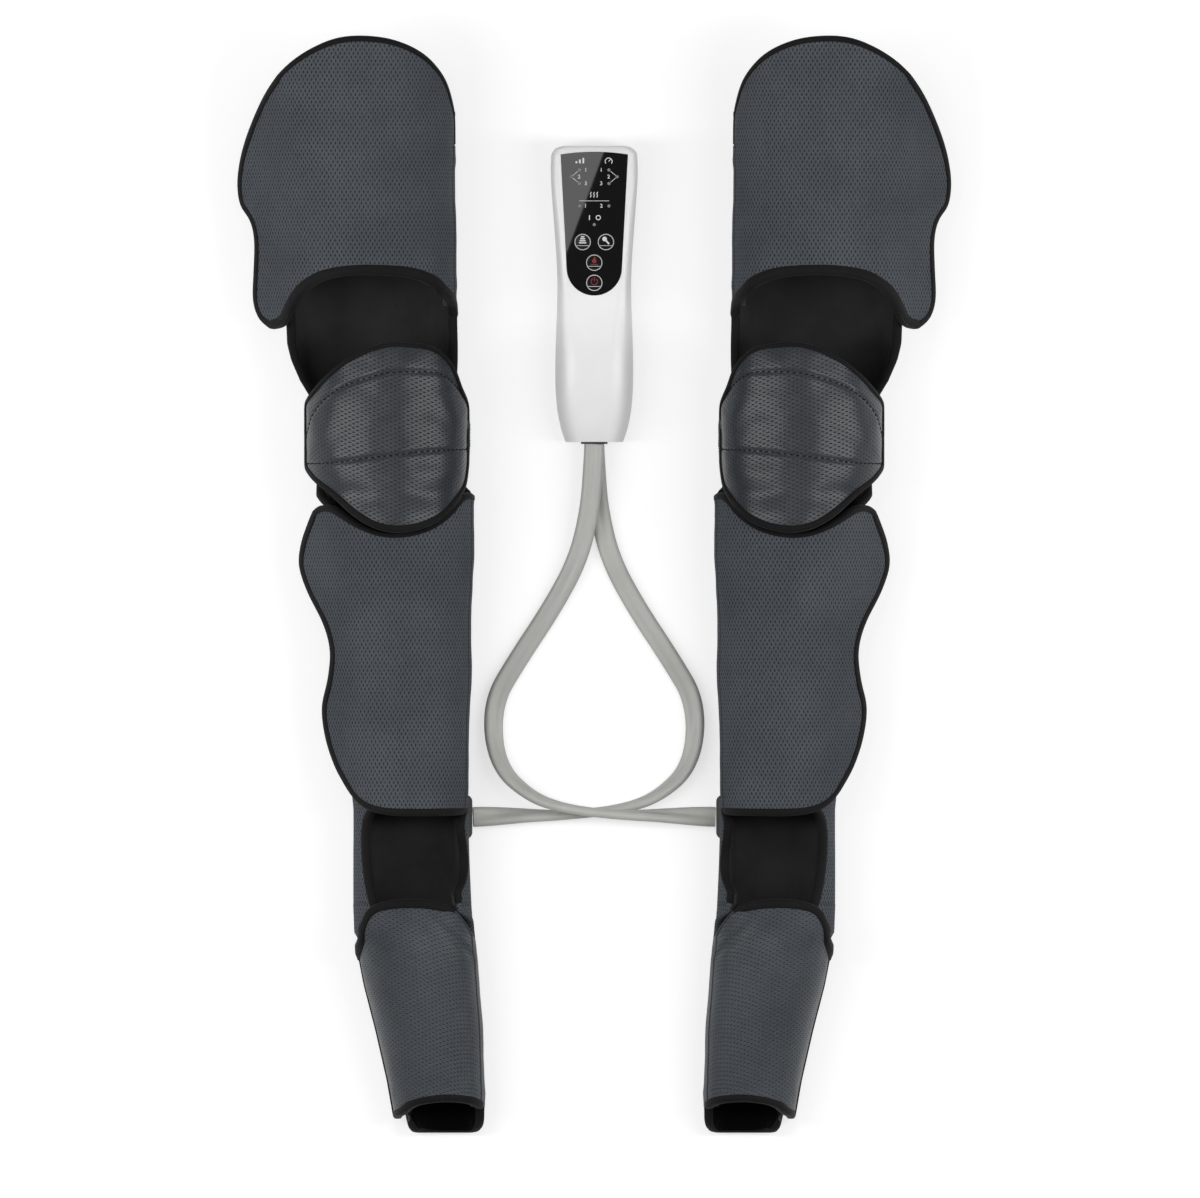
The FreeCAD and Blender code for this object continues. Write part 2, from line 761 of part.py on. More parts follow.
def panel_edges(margin):
    """Plan outline of the control panel: arched at the head, round at the lower end."""
    high = panel_tip_y + panel_length - panel_arch
    wide = panel_top_width / 2 + margin
    narrow = panel_low_width / 2 + margin
    low = panel_tip_y + panel_round
    corners = [Vector(x, y, 0) for x, y in (
        (-wide, high + margin), (-narrow, low), (narrow, low), (wide, high + margin))]
    tip = Vector(0, panel_tip_y - margin, 0)
    crest = Vector(0, high + panel_arch + margin, 0)
    return [
        line(corners[0], corners[1]),
        Part.Arc(corners[1], tip, corners[2]).toShape(),
        line(corners[2], corners[3]),
        Part.Arc(corners[3], crest, corners[0]).toShape(),
    ]


head_z = handset_height * handset_head_share
seat_z = head_z - panel_thickness
bed_z = seat_z - bed_thickness
board_z = bed_z - board_drop
key_places = {
    "mode_key": (-key_side_x, along_handset(key_upper_share)),
    "pressure_key": (key_side_x, along_handset(key_upper_share)),
    "heat_key": (0, along_handset(key_middle_share)),
    "power_key": (0, along_handset(key_lower_share)),
}
led_places = [(handset_width / 2 * a, along_handset(b)) for a, b in led_shares]
boss_places = [(side * x, y) for side in (-1, 1) for x, y in (
    (boss_low_x, along_handset(boss_low_share)), (boss_high_x, along_handset(boss_high_share)))]
wide_space = handset_length


def fused(first, others):
    for other in others:
        first = first.fuse(other)
    return first.removeSplitter()


def grommet_block(gap, first, last):
    half = grommet_width / 2 + gap
    low = grommet_base_z - gap
    block = box(Vector(-half, first, low), Vector(half, last, grommet_base_z + grommet_height + gap))
    edges = [e for e in block.Edges if e.BoundBox.YLength > (last - first) / 2]
    return block.makeFillet(grommet_round, edges)


def handset():
    outer = handset_form(0)
    end_y = handset_end_y + handset_length
    room = box(Vector(-wide_space, handset_end_y + handset_wall, -wide_space),
               Vector(wide_space, end_y - handset_wall, wide_space))
    inner = handset_form(handset_wall).common(room)
    hollow = outer.cut(inner)
    inner_y = handset_end_y + handset_wall
    openings = [grommet_block(panel_gap, handset_end_y - overrun, inner_y + panel_gap)]
    mouth_y = end_y
    seat_y = end_y - handset_wall
    openings.append(lengthways(socket_radius + panel_gap, socket_x, socket_z,
                               seat_y - overrun / 2, mouth_y + overrun))
    upper_half = box(Vector(-wide_space, -wide_space, handset_split_z),
                     Vector(wide_space, 2 * wide_space, wide_space))
    lower_half = box(Vector(-wide_space, -wide_space, -wide_space),
                     Vector(wide_space, 2 * wide_space, handset_split_z))

    bed = prism(panel_edges(bed_margin), bed_z, seat_z + panel_thickness / 2).common(outer)
    board_end_y = board_start_y + board_length
    post_x = board_width / 2 - post_inset
    post_places = [(side * post_x, y) for side in (-1, 1) for y in (
        board_start_y + post_inset, board_end_y - post_inset)]
    posts = [upright(post_radius, x, y, board_z, bed_z + bed_thickness / 2) for x, y in post_places]
    front_bosses = [upright(boss_radius, x, y, handset_split_z, head_z) for x, y in boss_places]
    front_bosses = [boss.common(outer) for boss in front_bosses]
    front = fused(hollow.common(upper_half), [bed] + posts + front_bosses)
    cuts = [prism(panel_edges(panel_gap), seat_z, tall)]
    cuts += [upright(screw_pilot_radius, x, y, 0, screw_tip_z + screw_head_height) for x, y in boss_places]
    cuts += [upright(stem_radius + stem_gap, x, y, 0, tall) for x, y in key_places.values()]
    cuts += [upright(led_radius + led_gap, x, y, 0, tall) for x, y in led_places]
    for tool in cuts + openings:
        front = front.cut(tool)

    pump_end_y = pump_start_y + motor_length + pump_length
    rear = hollow.common(lower_half)
    bosses = [upright(boss_radius, x, y, 0, handset_split_z).common(outer) for x, y in boss_places]
    ribs = []
    motor_middle_y = pump_start_y + motor_length / 2
    pump_middle_y = pump_end_y - pump_length / 2
    for radius, y in ((motor_radius, motor_middle_y), (pump_radius, pump_middle_y)):
        half = radius * rib_width_share
        rib = box(Vector(-half, y - rib_thickness / 2, 0),
                  Vector(half, y + rib_thickness / 2, handset_split_z)).common(outer)
        ribs.append(rib.cut(lengthways(radius + rib_gap, 0, pump_axis_z, y - overrun, y + overrun)))
    rear = fused(rear, bosses + ribs)
    cuts = [upright(screw_hole_radius, x, y, 0, tall) for x, y in boss_places]
    cuts += [upright(screw_head_radius + counterbore_gap, x, y, -overrun, screw_seat_z) for x, y in boss_places]
    for tool in cuts + openings:
        rear = rear.cut(tool)

    panel = prism(panel_edges(0), seat_z, head_z)
    for x, y in key_places.values():
        panel = panel.cut(upright(key_radius + key_gap, x, y, 0, tall))
    keys = {}
    switch_top = board_z + switch_height + plunger_height
    cap_top = head_z + key_proud
    for name, (x, y) in key_places.items():
        cap = upright(key_radius, x, y, cap_top - key_cap, cap_top)
        stem = upright(stem_radius, x, y, switch_top + key_travel + key_gap, cap_top - key_cap / 2)
        keys[name] = cap.fuse(stem).removeSplitter()
    board = box(Vector(-board_width / 2, board_start_y, board_z - board_thickness),
                Vector(board_width / 2, board_end_y, board_z))
    half_switch = switch_side / 2
    switches = []
    for x, y in key_places.values():
        body = box(Vector(x - half_switch, y - half_switch, board_z),
                   Vector(x + half_switch, y + half_switch, board_z + switch_height))
        switches.append(body.fuse(upright(plunger_radius, x, y, board_z, switch_top)).removeSplitter())
    leds = [upright(led_radius, x, y, board_z, seat_z - led_gap) for x, y in led_places]

    screws = []
    for x, y in boss_places:
        head = upright(screw_head_radius, x, y, screw_seat_z - screw_head_height, screw_seat_z)
        shank = upright(screw_radius, x, y, screw_seat_z - screw_head_height / 2, screw_tip_z)
        screws.append(head.fuse(shank).removeSplitter())

    motor_end_y = pump_start_y + motor_length
    motor = lengthways(motor_radius, 0, pump_axis_z, pump_start_y, motor_end_y)
    pump = lengthways(pump_radius, 0, pump_axis_z, motor_end_y, pump_end_y)
    manifold_end_y = manifold_start_y + manifold_length
    manifold = box(Vector(-manifold_width / 2, manifold_start_y, handset_wall),
                   Vector(manifold_width / 2, manifold_end_y, handset_wall + valve_height))
    valves = [box(Vector(x - valve_width / 2, manifold_end_y, handset_wall),
                  Vector(x + valve_width / 2, manifold_end_y + valve_length, handset_wall + valve_height))
              for x in (-valve_side_x, valve_side_x)]
    flange_end = inner_y + grommet_flange_length
    tubes = [lengthways(tube_radius, side * tube_side_x, tube_side_z, flange_end, manifold_start_y)
             for side in (-1, 1)]
    tubes.append(lengthways(tube_radius, 0, tube_middle_z, pump_end_y, manifold_start_y))

    grommet = grommet_block(0, handset_end_y - grommet_proud, flange_end)
    flange = grommet_block(grommet_flange, inner_y, flange_end)
    grommet = grommet.fuse(flange).removeSplitter()
    socket = lengthways(socket_radius, socket_x, socket_z, mouth_y - socket_length, mouth_y)
    flange_y = seat_y - socket_flange_length
    socket = socket.fuse(lengthways(socket_flange, socket_x, socket_z, flange_y, seat_y))
    floor_y = mouth_y - socket_depth
    socket = socket.cut(lengthways(socket_bore, socket_x, socket_z, floor_y, mouth_y + overrun))
    pin = lengthways(socket_pin, socket_x, socket_z, floor_y - socket_pin, floor_y + socket_pin_length)
    socket = socket.fuse(pin).removeSplitter()
    nodes = {
        "front_shell": front,
        "rear_shell": rear,
        "display_panel": panel,
        "circuit_board": board,
        "tact_switches": Part.makeCompound(switches),
        "indicator_leds": Part.makeCompound(leds),
        "shell_screws": Part.makeCompound(screws),
        "pump_motor": motor,
        "pump_head": pump,
        "air_manifold": manifold,
        "solenoid_valves": Part.makeCompound(valves),
        "air_tubes": Part.makeCompound(tubes),
        "hose_grommet": grommet,
        "power_socket": socket,
    }
    nodes.update(keys)
    return nodes


def build():
    nodes = {}
    for name, shape in leg().items():
        nodes["right_" + name] = shape
        nodes["left_" + name] = shape.mirror(Vector(0, 0, 0), Vector(1, 0, 0))
    nodes["left_hose"] = hose(upper_route_shares, hose_upper_z, 1)
    nodes["right_hose"] = hose(lower_route_shares, hose_lower_z, -1)
    nodes.update(handset())
    return nodes


os.makedirs("parts", exist_ok=True)
parts = build()
for name, shape in parts.items():
    shape.exportStep(os.path.join("parts", name + ".step"))
    box_size = shape.BoundBox
    sizes = [round(v, 1) for v in (box_size.XLength, box_size.YLength, box_size.ZLength)]
    volume = round(shape.Volume / 1000, 1)
    print(name, len(shape.Solids), shape.isValid(), volume, sizes, round(box_size.ZMin, 2))
print(len(parts), "nodes")
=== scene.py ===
import math

import bmesh
import bpy
import numpy as np
from mathutils import Matrix, Vector, noise


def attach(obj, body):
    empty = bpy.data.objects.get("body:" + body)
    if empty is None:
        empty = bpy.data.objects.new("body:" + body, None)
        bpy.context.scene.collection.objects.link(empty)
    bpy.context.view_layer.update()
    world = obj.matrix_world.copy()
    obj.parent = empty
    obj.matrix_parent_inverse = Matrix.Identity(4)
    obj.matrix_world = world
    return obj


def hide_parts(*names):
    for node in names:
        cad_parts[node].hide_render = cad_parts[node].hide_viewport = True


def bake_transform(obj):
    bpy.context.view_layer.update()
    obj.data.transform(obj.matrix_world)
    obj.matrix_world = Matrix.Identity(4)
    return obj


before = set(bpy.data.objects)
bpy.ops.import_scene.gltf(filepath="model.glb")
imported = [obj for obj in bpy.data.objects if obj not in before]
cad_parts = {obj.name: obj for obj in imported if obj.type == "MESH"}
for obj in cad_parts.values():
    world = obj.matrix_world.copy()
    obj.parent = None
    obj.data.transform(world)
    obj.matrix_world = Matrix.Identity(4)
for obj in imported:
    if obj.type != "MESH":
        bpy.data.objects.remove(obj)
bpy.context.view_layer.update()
scene = bpy.context.scene
scene.view_settings.view_transform = "Standard"
print("frame loaded,", len(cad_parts), "nodes")

mm = 0.001
rootBody = "sleeves_and_handset"

# the photograph looks straight down from far away
camera = {"middle": (4.3, -10.9), "width": 900, "plane": 50, "lens": 1500, "sensor": 36, "clipEnd": 100}


def makeCamera():
    data = bpy.data.cameras.new("camera")
    data.lens = camera["lens"]
    data.sensor_width = camera["sensor"]
    data.clip_end = camera["clipEnd"]
    cam = bpy.data.objects.new("camera", data)
    scene.collection.objects.link(cam)
    away = camera["plane"] + camera["width"] * camera["lens"] / camera["sensor"]
    cam.location = Vector((*camera["middle"], away)) * mm
    scene.camera = cam


makeCamera()


def newMaterial():
    mat = bpy.data.materials.new("finish")
    mat.use_nodes = True
    return mat, mat.node_tree, mat.node_tree.nodes["Principled BSDF"]


def give(tree, socket, value):  # a link from another node, or a plain value
    if isinstance(value, bpy.types.NodeSocket):
        tree.links.new(value, socket)
    else:
        socket.default_value = value


def giveAll(tree, node, inputs):
    for label, value in inputs.items():
        give(tree, node.inputs[label], value)


def addNode(tree, kind, **inputs):
    node = tree.nodes.new("ShaderNode" + kind)
    giveAll(tree, node, inputs)
    return node


def addMath(tree, operation, *values):
    node = addNode(tree, "Math")
    node.operation = operation
    for socket, value in zip(node.inputs, values):
        give(tree, socket, value)
    return node.outputs[0]


def addRange(tree, *values):  # value, from low, from high, to low, to high
    node = addNode(tree, "MapRange")
    node.interpolation_type = "SMOOTHSTEP"
    for socket, value in zip(node.inputs, values):
        give(tree, socket, value)
    return node.outputs[0]


def addMix(tree, factor, first, second, blend="MIX"):
    node = addNode(tree, "Mix")
    node.data_type = "RGBA"
    node.blend_type = blend
    for n, value in ((0, factor), (6, first), (7, second)):
        give(tree, node.inputs[n], value)
    return node.outputs[2]


def addBump(tree, height, strength, distance):
    return addNode(tree, "Bump", Height=height, Strength=strength, Distance=distance * mm).outputs[0]


def newGroup(name, inputs, outputs):
    group = bpy.data.node_groups.new(name, "ShaderNodeTree")
    group.interface.new_socket("Vector", in_out="INPUT", socket_type="NodeSocketVector")
    for label, value in inputs.items():
        socket = group.interface.new_socket(label, in_out="INPUT", socket_type="NodeSocketFloat")
        socket.default_value = value
    for label in outputs:
        group.interface.new_socket(label, in_out="OUTPUT", socket_type="NodeSocketFloat")
    return group, group.nodes.new("NodeGroupInput").outputs, group.nodes.new("NodeGroupOutput").inputs


def addGroup(tree, group, **inputs):
    node = addNode(tree, "Group")
    node.node_tree = group
    giveAll(tree, node, inputs)
    return node.outputs


# knitted spacer mesh: two interleaved sets of slim holes between raised threads
def makeMeshGroup():
    sizes = {"Across": 0.0034, "Along": 0.0056, "HoleWidth": 0.2, "HoleLength": 0.2, "Yarn": 0.07}
    edge = (0.35, 1.25)  # where a hole starts to fade and where it ends, in half widths
    tree, given, out = newGroup("spacerMesh", sizes, ("Hole", "Height"))
    split = addNode(tree, "SeparateXYZ", Vector=given["Vector"]).outputs
    a = addMath(tree, "DIVIDE", split[0], given["Across"])
    b = addMath(tree, "DIVIDE", split[1], given["Along"])
    holes = []
    for shift in (0.0, 0.5):
        squares = []
        for value, size in ((a, "HoleWidth"), (b, "HoleLength")):
            part = addMath(tree, "FRACT", addMath(tree, "ADD", value, shift))
            part = addMath(tree, "DIVIDE", addMath(tree, "SUBTRACT", part, 0.5), given[size])
            squares.append(addMath(tree, "MULTIPLY", part, part))
        far = addMath(tree, "SQRT", addMath(tree, "ADD", *squares))
        holes.append(addRange(tree, far, *edge, 1.0, 0.0))
    hole = addMath(tree, "MAXIMUM", *holes)
    turn = addMath(tree, "MULTIPLY", addMath(tree, "ADD", a, b), 4 * math.pi)
    twist = addMath(tree, "SUBTRACT", addMath(tree, "SINE", turn), 1.0)
    yarn = addMath(tree, "MULTIPLY_ADD", twist, given["Yarn"], 1.0)
    give(tree, out["Hole"], hole)
    give(tree, out["Height"], addMath(tree, "MULTIPLY", addMath(tree, "SUBTRACT", 1.0, hole), yarn))
    return tree


# slow changes of tone over a surface, and fine lint or grain
def makeToneGroup():
    tree, given, out = newGroup("clothTone", {"Size": 18.0, "Fine": 900.0}, ("Tone", "Lint"))
    for label, size, detail in (("Tone", "Size", 3.0), ("Lint", "Fine", 2.0)):
        tex = addNode(tree, "TexNoise", Vector=given["Vector"], Scale=given[size], Detail=detail)
        give(tree, out[label], tex.outputs[0])
    return tree


meshGroup = makeMeshGroup()
toneGroup = makeToneGroup()
noiseSpan = (0.3, 0.7)  # where most of the noise lies


def grey(value, tint=(1, 1, 1)):
    return (value * tint[0], value * tint[1], value * tint[2], 1)


def clothNodes(tree):  # the cloth map, in metres, and tones by place
    uv = addNode(tree, "UVMap")
    uv.uv_map = "cloth"
    return uv.outputs[0], addGroup(tree, toneGroup, Vector=addNode(tree, "TexCoord").outputs["Object"])


# grey mesh of the flaps, the pads and the back; some of its pores are nearly closed
knitLook = {"tone": (0.88, 1.12), "lint": (0.82, 1.18), "closed": (0.32, 0.62, 0.45, 1.0), "poreRough": 0.95,
            "bump": 0.8}


def meshCloth(thread, pore, across=3.4, along=5.6, hole=(0.2, 0.22), yarn=0.07, rough=0.7, depth=0.3,
              shine=0.12):
    mat, tree, shader = newMaterial()
    flat, tone = clothNodes(tree)
    knit = addGroup(tree, meshGroup, Vector=flat, Across=across * mm, Along=along * mm, HoleWidth=hole[0],
                    HoleLength=hole[1], Yarn=yarn)
    light = addRange(tree, tone["Tone"], *noiseSpan, *knitLook["tone"])
    lint = addRange(tree, tone["Lint"], *noiseSpan, *knitLook["lint"])
    body = addMix(tree, 1.0, thread, addMath(tree, "MULTIPLY", light, lint), "MULTIPLY")
    pores = addMath(tree, "MULTIPLY", knit["Hole"], addRange(tree, tone["Lint"], *knitLook["closed"]))
    giveAll(tree, shader, {
        "Base Color": addMix(tree, pores, body, pore), "Specular IOR Level": shine,
        "Roughness": addRange(tree, pores, 0, 1, rough, knitLook["poreRough"]),
        "Normal": addBump(tree, knit["Height"], knitLook["bump"], depth)})
    return mat


# close black cloth: linings, tapes and webbing, with a fine rib
weaveLook = {"tone": (0.8, 1.2), "thread": (0.7, 1.2), "roughSpread": 0.08, "bump": 0.6}


def plainCloth(colour, pitch, rough, sheen, depth=0.12, shine=0.3, toeShade=None):
    mat, tree, shader = newMaterial()
    flat, tone = clothNodes(tree)
    split = addNode(tree, "SeparateXYZ", Vector=flat).outputs
    turn = 2 * math.pi / (pitch * mm)
    threads = [addMath(tree, "SINE", addMath(tree, "MULTIPLY", split[n], turn)) for n in (0, 1)]
    weave = addMath(tree, "MULTIPLY_ADD", addMath(tree, "MULTIPLY", *threads), 0.5, 0.5)
    light = addRange(tree, tone["Tone"], *noiseSpan, *weaveLook["tone"])
    shade = addMath(tree, "MULTIPLY", light, addRange(tree, weave, 0, 1, *weaveLook["thread"]))
    if toeShade:  # painted shade: darker towards the toe, standing in for the shadow deep inside the foot
        shade = addMath(tree, "MULTIPLY", shade, addRange(tree, split[1], *toeShade))
    spread = weaveLook["roughSpread"]
    giveAll(tree, shader, {
        "Base Color": addMix(tree, 1.0, colour, shade, "MULTIPLY"), "Sheen Weight": sheen,
        "Roughness": addRange(tree, tone["Lint"], *noiseSpan, rough - spread, rough + spread),
        "Normal": addBump(tree, weave, weaveLook["bump"], depth), "Specular IOR Level": shine})
    return mat


# moulded plastics, rubbers and metals, with a little grain and handling marks
mouldLook = {"toneSize": 30.0, "roughSpread": (0.85, 1.2), "bump": 0.5, "coatRough": 0.08,
             "scatterRadius": (0.004, 0.004, 0.0035)}


def moulded(colour, rough, grain=0.0, coat=0.0, size=900.0, marks=0.05, scatter=0.0, metal=0.0, shine=0.5):
    mat, tree, shader = newMaterial()
    spot = addNode(tree, "TexCoord").outputs["Object"]
    tone = addGroup(tree, toneGroup, Vector=spot, Size=mouldLook["toneSize"], Fine=size)
    light = addRange(tree, tone["Tone"], *noiseSpan, 1 - marks, 1 + marks)
    roughs = [rough * part for part in mouldLook["roughSpread"]]
    giveAll(tree, shader, {
        "Base Color": addMix(tree, 1.0, colour, light, "MULTIPLY"), "Metallic": metal,
        "Roughness": addRange(tree, tone["Tone"], *noiseSpan, *roughs), "Specular IOR Level": shine,
        "Coat Weight": coat, "Coat Roughness": mouldLook["coatRough"]})
    if grain:
        give(tree, shader.inputs["Normal"], addBump(tree, tone["Lint"], mouldLook["bump"], grain))
    if scatter:
        giveAll(tree, shader, {"Subsurface Weight": scatter, "Subsurface Scale": 1.0,
                               "Subsurface Radius": mouldLook["scatterRadius"]})
    return mat


slate = (0.89, 1.0, 1.14)
mats = {
    "greyMesh": meshCloth(grey(0.087, slate), grey(0.011, slate), hole=(0.22, 0.25)),
    "padMesh": meshCloth(grey(0.036, (0.86, 1.0, 1.16)), grey(0.014, slate), across=3.2, along=5.9,
                         hole=(0.14, 0.21), yarn=0.03, rough=0.32, depth=0.25, shine=0.31),
    "footMesh": meshCloth(grey(0.072, slate), grey(0.018, slate), across=3.2, along=5.8,
                          hole=(0.14, 0.22), yarn=0.06, rough=0.4, shine=0.2),
    "blackTape": plainCloth(grey(0.0065), 0.9, 0.72, 0.04, shine=0.15),
    "blackLining": plainCloth(grey(0.0125), 1.4, 0.8, 0.25),
    # painted shade: this lining's colour darkens towards the toe, in place of the shadow inside the foot
    "soleLining": plainCloth(grey(0.032), 1.4, 0.85, 0.0, shine=0.07, toeShade=(-0.385, -0.262, 0.035, 1.0)),
    "webbing": plainCloth(grey(0.010), 1.6, 0.7, 0.1, depth=0.3),
    "hookTape": plainCloth(grey(0.012), 1.2, 0.6, 0.0, depth=0.5),
    "hoseRubber": moulded(grey(0.51, (1.0, 0.995, 0.94)), 0.42, grain=0.02, scatter=0.08),
    "bootRubber": moulded(grey(0.03), 0.6, grain=0.05),
    "whiteShell": moulded(grey(0.91), 0.36, coat=0.12, marks=0.015),
    "blackPanel": moulded(grey(0.002), 0.01, marks=0.03, shine=0.28),
    "keyCap": moulded(grey(0.002), 0.05, marks=0.03, shine=0.28),
    "printWhite": moulded(grey(0.78), 0.5, marks=0.08),
    "printDot": moulded(grey(0.20), 0.35, marks=0.08),
    "printRed": moulded((0.22, 0.006, 0.010, 1), 0.45, marks=0.08),
    "thread": moulded(grey(0.004), 0.6, grain=0.03, shine=0.2),
    "socketBlack": moulded(grey(0.012), 0.4, grain=0.02),
    "board": moulded((0.012, 0.085, 0.035, 1), 0.4, coat=0.3, size=400.0, marks=0.15),
    "switchBlack": moulded(grey(0.015), 0.5, grain=0.02),
    "ledLens": moulded(grey(0.72, (1.0, 0.98, 0.92)), 0.2, coat=0.4, scatter=0.3),
    "screwSteel": moulded(grey(0.52), 0.28, grain=0.01, marks=0.12, metal=1.0),
    "motorSteel": moulded(grey(0.46), 0.34, grain=0.01, marks=0.15, metal=1.0),
    "pumpPlastic": moulded(grey(0.05), 0.5, grain=0.03),
    "valveBody": moulded((0.03, 0.06, 0.14, 1), 0.42, grain=0.02),
    "clearTube": moulded(grey(0.66, (1.0, 1.0, 0.96)), 0.18, coat=0.3, scatter=0.4),
}
for name, mat in mats.items():
    mat.name = name
print("materials:", len(mats))


def place(obj, body, nodes=(), bend=None):
    if bend:  # fabric that turns between the back and a piece that moves
        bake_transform(obj)
    else:
        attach(obj, body)
    if nodes:
        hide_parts(*nodes)


def newPiece(bm, name, finishes):
    mesh = bpy.data.meshes.new(name)
    bm.to_mesh(mesh)
    for finish in finishes:
        mesh.materials.append(mats[finish])
    obj = bpy.data.objects.new(name, mesh)
    scene.collection.objects.link(obj)
    return obj


def thicken(obj, amount):
    wall = obj.modifiers.new("thickness", "SOLIDIFY")
    wall.thickness = amount * mm
    wall.offset = -1
    wall.use_even_offset = True


# the right piece and its mirror image, thickened where a thickness is given
def pairOf(bm, name, finishes, body, nodes, thick=0, bend=None):
    made = []
    for side in ("right", "left"):
        if side == "left":
            bend = bend and [(-x, y, z) for x, y, z in bend]
            bmesh.ops.scale(bm, vec=(-1, 1, 1), verts=bm.verts)
            bmesh.ops.reverse_faces(bm, faces=bm.faces)
        obj = newPiece(bm, side + name, finishes)
        if thick:
            thicken(obj, thick)
        place(obj, body.format(side), [side + "_" + n for n in nodes], bend)
        made.append(obj)
    bm.free()
    return made


# two flat twin-bore hoses, from the handset to the other side's ankle
hose = {
    "width": 15, "thick": 6.5, "groove": 1.1, "grooveEase": (0.35, 0.25), "length": 434, "smooth": 12,
    # seen from above the upper hose mirrors the lower one; then their heights
    "plan": [(0, 105.5), (1.05, 83.4), (3.6, 54.3), (12.3, 18.1), (32, -18.1), (56.7, -55.1), (77.2, -89.6),
             (73.5, -135.6), (47.8, -159.9), (20, -168.9), (-21, -173.4), (-58.8, -173.4), (-90.9, -174.5)],
    "upper": (19.5, 18.2, 15.3, 8.5, 4.0, 3.9, 5.0, 9.6, 18.5, 23.4, 23.4, 15.5, 13),
    "lower": (10.5, 8.8, 4.9, 3.7, 3.6, 3.8, 4.9, 6.9, 7.6, 7.8, 7.8, 9.5, 13),
    "turns": {6: 12, 7: 46, 8: 70, 9: 86, 10: 86, 11: 58},  # each turns up on its edge where the two cross
}


def hoseProfile():
    data = bpy.data.curves.new("hoseProfile", "CURVE")
    data.dimensions = "2D"
    lift, dip = hose["thick"] / 2, hose["groove"]
    side = hose["width"] / 2 - lift
    beside, shallow = side * hose["grooveEase"][0], dip * hose["grooveEase"][1]
    outline = []
    for way in (1, -1):  # round one bore, then along the groove to the other
        for turn in range(90, -91, -15):
            a = math.radians(turn)
            outline.append((way * (side + lift * math.cos(a)), way * lift * math.sin(a)))
        groove = ((beside, shallow), (0, dip), (-beside, shallow))
        outline += [(way * x, way * (y - lift)) for x, y in groove]
    spline = data.splines.new("POLY")
    spline.points.add(len(outline) - 1)
    for point, (x, y) in zip(spline.points, outline):
        point.co = (x * mm, y * mm, 0, 1)
    spline.use_cyclic_u = True
    return bpy.data.objects.new("hoseProfile", data)


def makeHose(name, node, heights, way):
    route = [(way * x, y, z) for (x, y), z in zip(hose["plan"], heights)]
    data = bpy.data.curves.new(name, "CURVE")
    data.dimensions = "3D"
    data.twist_mode = "Z_UP"
    data.resolution_u = hose["smooth"]
    data.bevel_mode = "OBJECT"
    data.bevel_object = profile
    data.use_fill_caps = True
    spline = data.splines.new("NURBS")
    spline.points.add(len(route) - 1)
    for point, co in zip(spline.points, route):
        point.co = (co[0] * mm, co[1] * mm, co[2] * mm, 1)
    for n, turn in hose["turns"].items():
        spline.points[n].tilt = way * math.radians(turn)
    spline.order_u = 3
    spline.use_endpoint_u = True
    obj = bpy.data.objects.new(name, data)
    scene.collection.objects.link(obj)
    data.materials.append(mats["hoseRubber"])
    place(obj, rootBody, [node])


profile = hoseProfile()
makeHose("leftHose", "left_hose", hose["upper"], -1)
makeHose("rightHose", "right_hose", hose["lower"], 1)
print("hoses laid")

# cross-sections of the right sleeve: place along it, inner edge, width, radius of its side walls
sections = {
    "top": (411, 105, 145, 58), "brow": (355, 104.5, 140.6, 56.4), "thighEnd": (195, 103, 128, 52),
    "kneeHigh": (180, 102.6, 127.6, 51.3), "kneeFull": (168, 102.6, 124.6, 50.5),
    "kneeTaper": (153, 103.2, 117.5, 49), "kneeWaist": (138, 104.2, 107.5, 47.5),
    "knee": (110, 105, 101.1, 46), "shin": (76.2, 99.5, 108.5, 46), "shinLow": (68, 91.5, 117, 45.5),
    "calf": (60, 90, 112, 45), "ankle": (-168, 95, 86, 38), "foot": (-240, 92, 89, 36),
    "heel": (-262, 90, 90.5, 34.5), "instep": (-275.9, 88, 81.4, 33.5), "foreFoot": (-300, 85.8, 79, 31.8),
    "midFoot": (-335, 83.5, 72.3, 29.3), "ballFoot": (-372, 82.2, 65.2, 26.7), "toe": (-411, 82, 58.6, 24),
    "soleBall": (-372, 82.8, 64, 26.7), "soleToe": (-411, 82.5, 57, 24), "padLow": (10, 105, 101.1, 46),
    "padHigh": (210, 105, 101.1, 46),
}
leg = {"wrap": 7.4, "wall": 10, "rimWall": 6, "flap": 5.3, "cover": 3, "lining": 2, "layerGap": 0.2,
       "hook": 1.4, "foldGap": 2.5, "fineness": 3.5, "rowSpacing": 4, "arcPoints": 60, "endPoints": 40}


def bell(value, middle, width):
    return np.exp(-((value - middle) / width) ** 2)


def share(value, low, high):  # how far a value has come from low to high
    return np.clip((value - low) / (high - low), 0, 1)


def swell(value, full):  # rises quickly at first, then levels out
    return np.sin(np.clip(value / full, 0, 1) * math.pi / 2)


def unit(rows):
    return rows / np.linalg.norm(rows, axis=1)[:, None]


def runAlong(line):  # length from the first point to each point
    return np.concatenate([[0], np.cumsum(np.linalg.norm(np.diff(line, axis=0), axis=1))])


def sectionAt(names, y):
    rows = np.array([sections[n] for n in names])
    rows = rows[np.argsort(rows[:, 0])]
    n = int(np.clip(np.searchsorted(rows[:, 0], y) - 1, 0, len(rows) - 2))
    part = (y - rows[n, 0]) / (rows[n + 1, 0] - rows[n, 0])
    return rows[n, 1:] + (rows[n + 1, 1:] - rows[n, 1:]) * part


def wallArc(middle, radius, low, side, first, last):  # turned from straight down
    turn = np.radians(np.linspace(first, last, leg["arcPoints"]))
    return np.stack([middle + side * radius * np.sin(turn), low - radius * np.cos(turn)], 1)


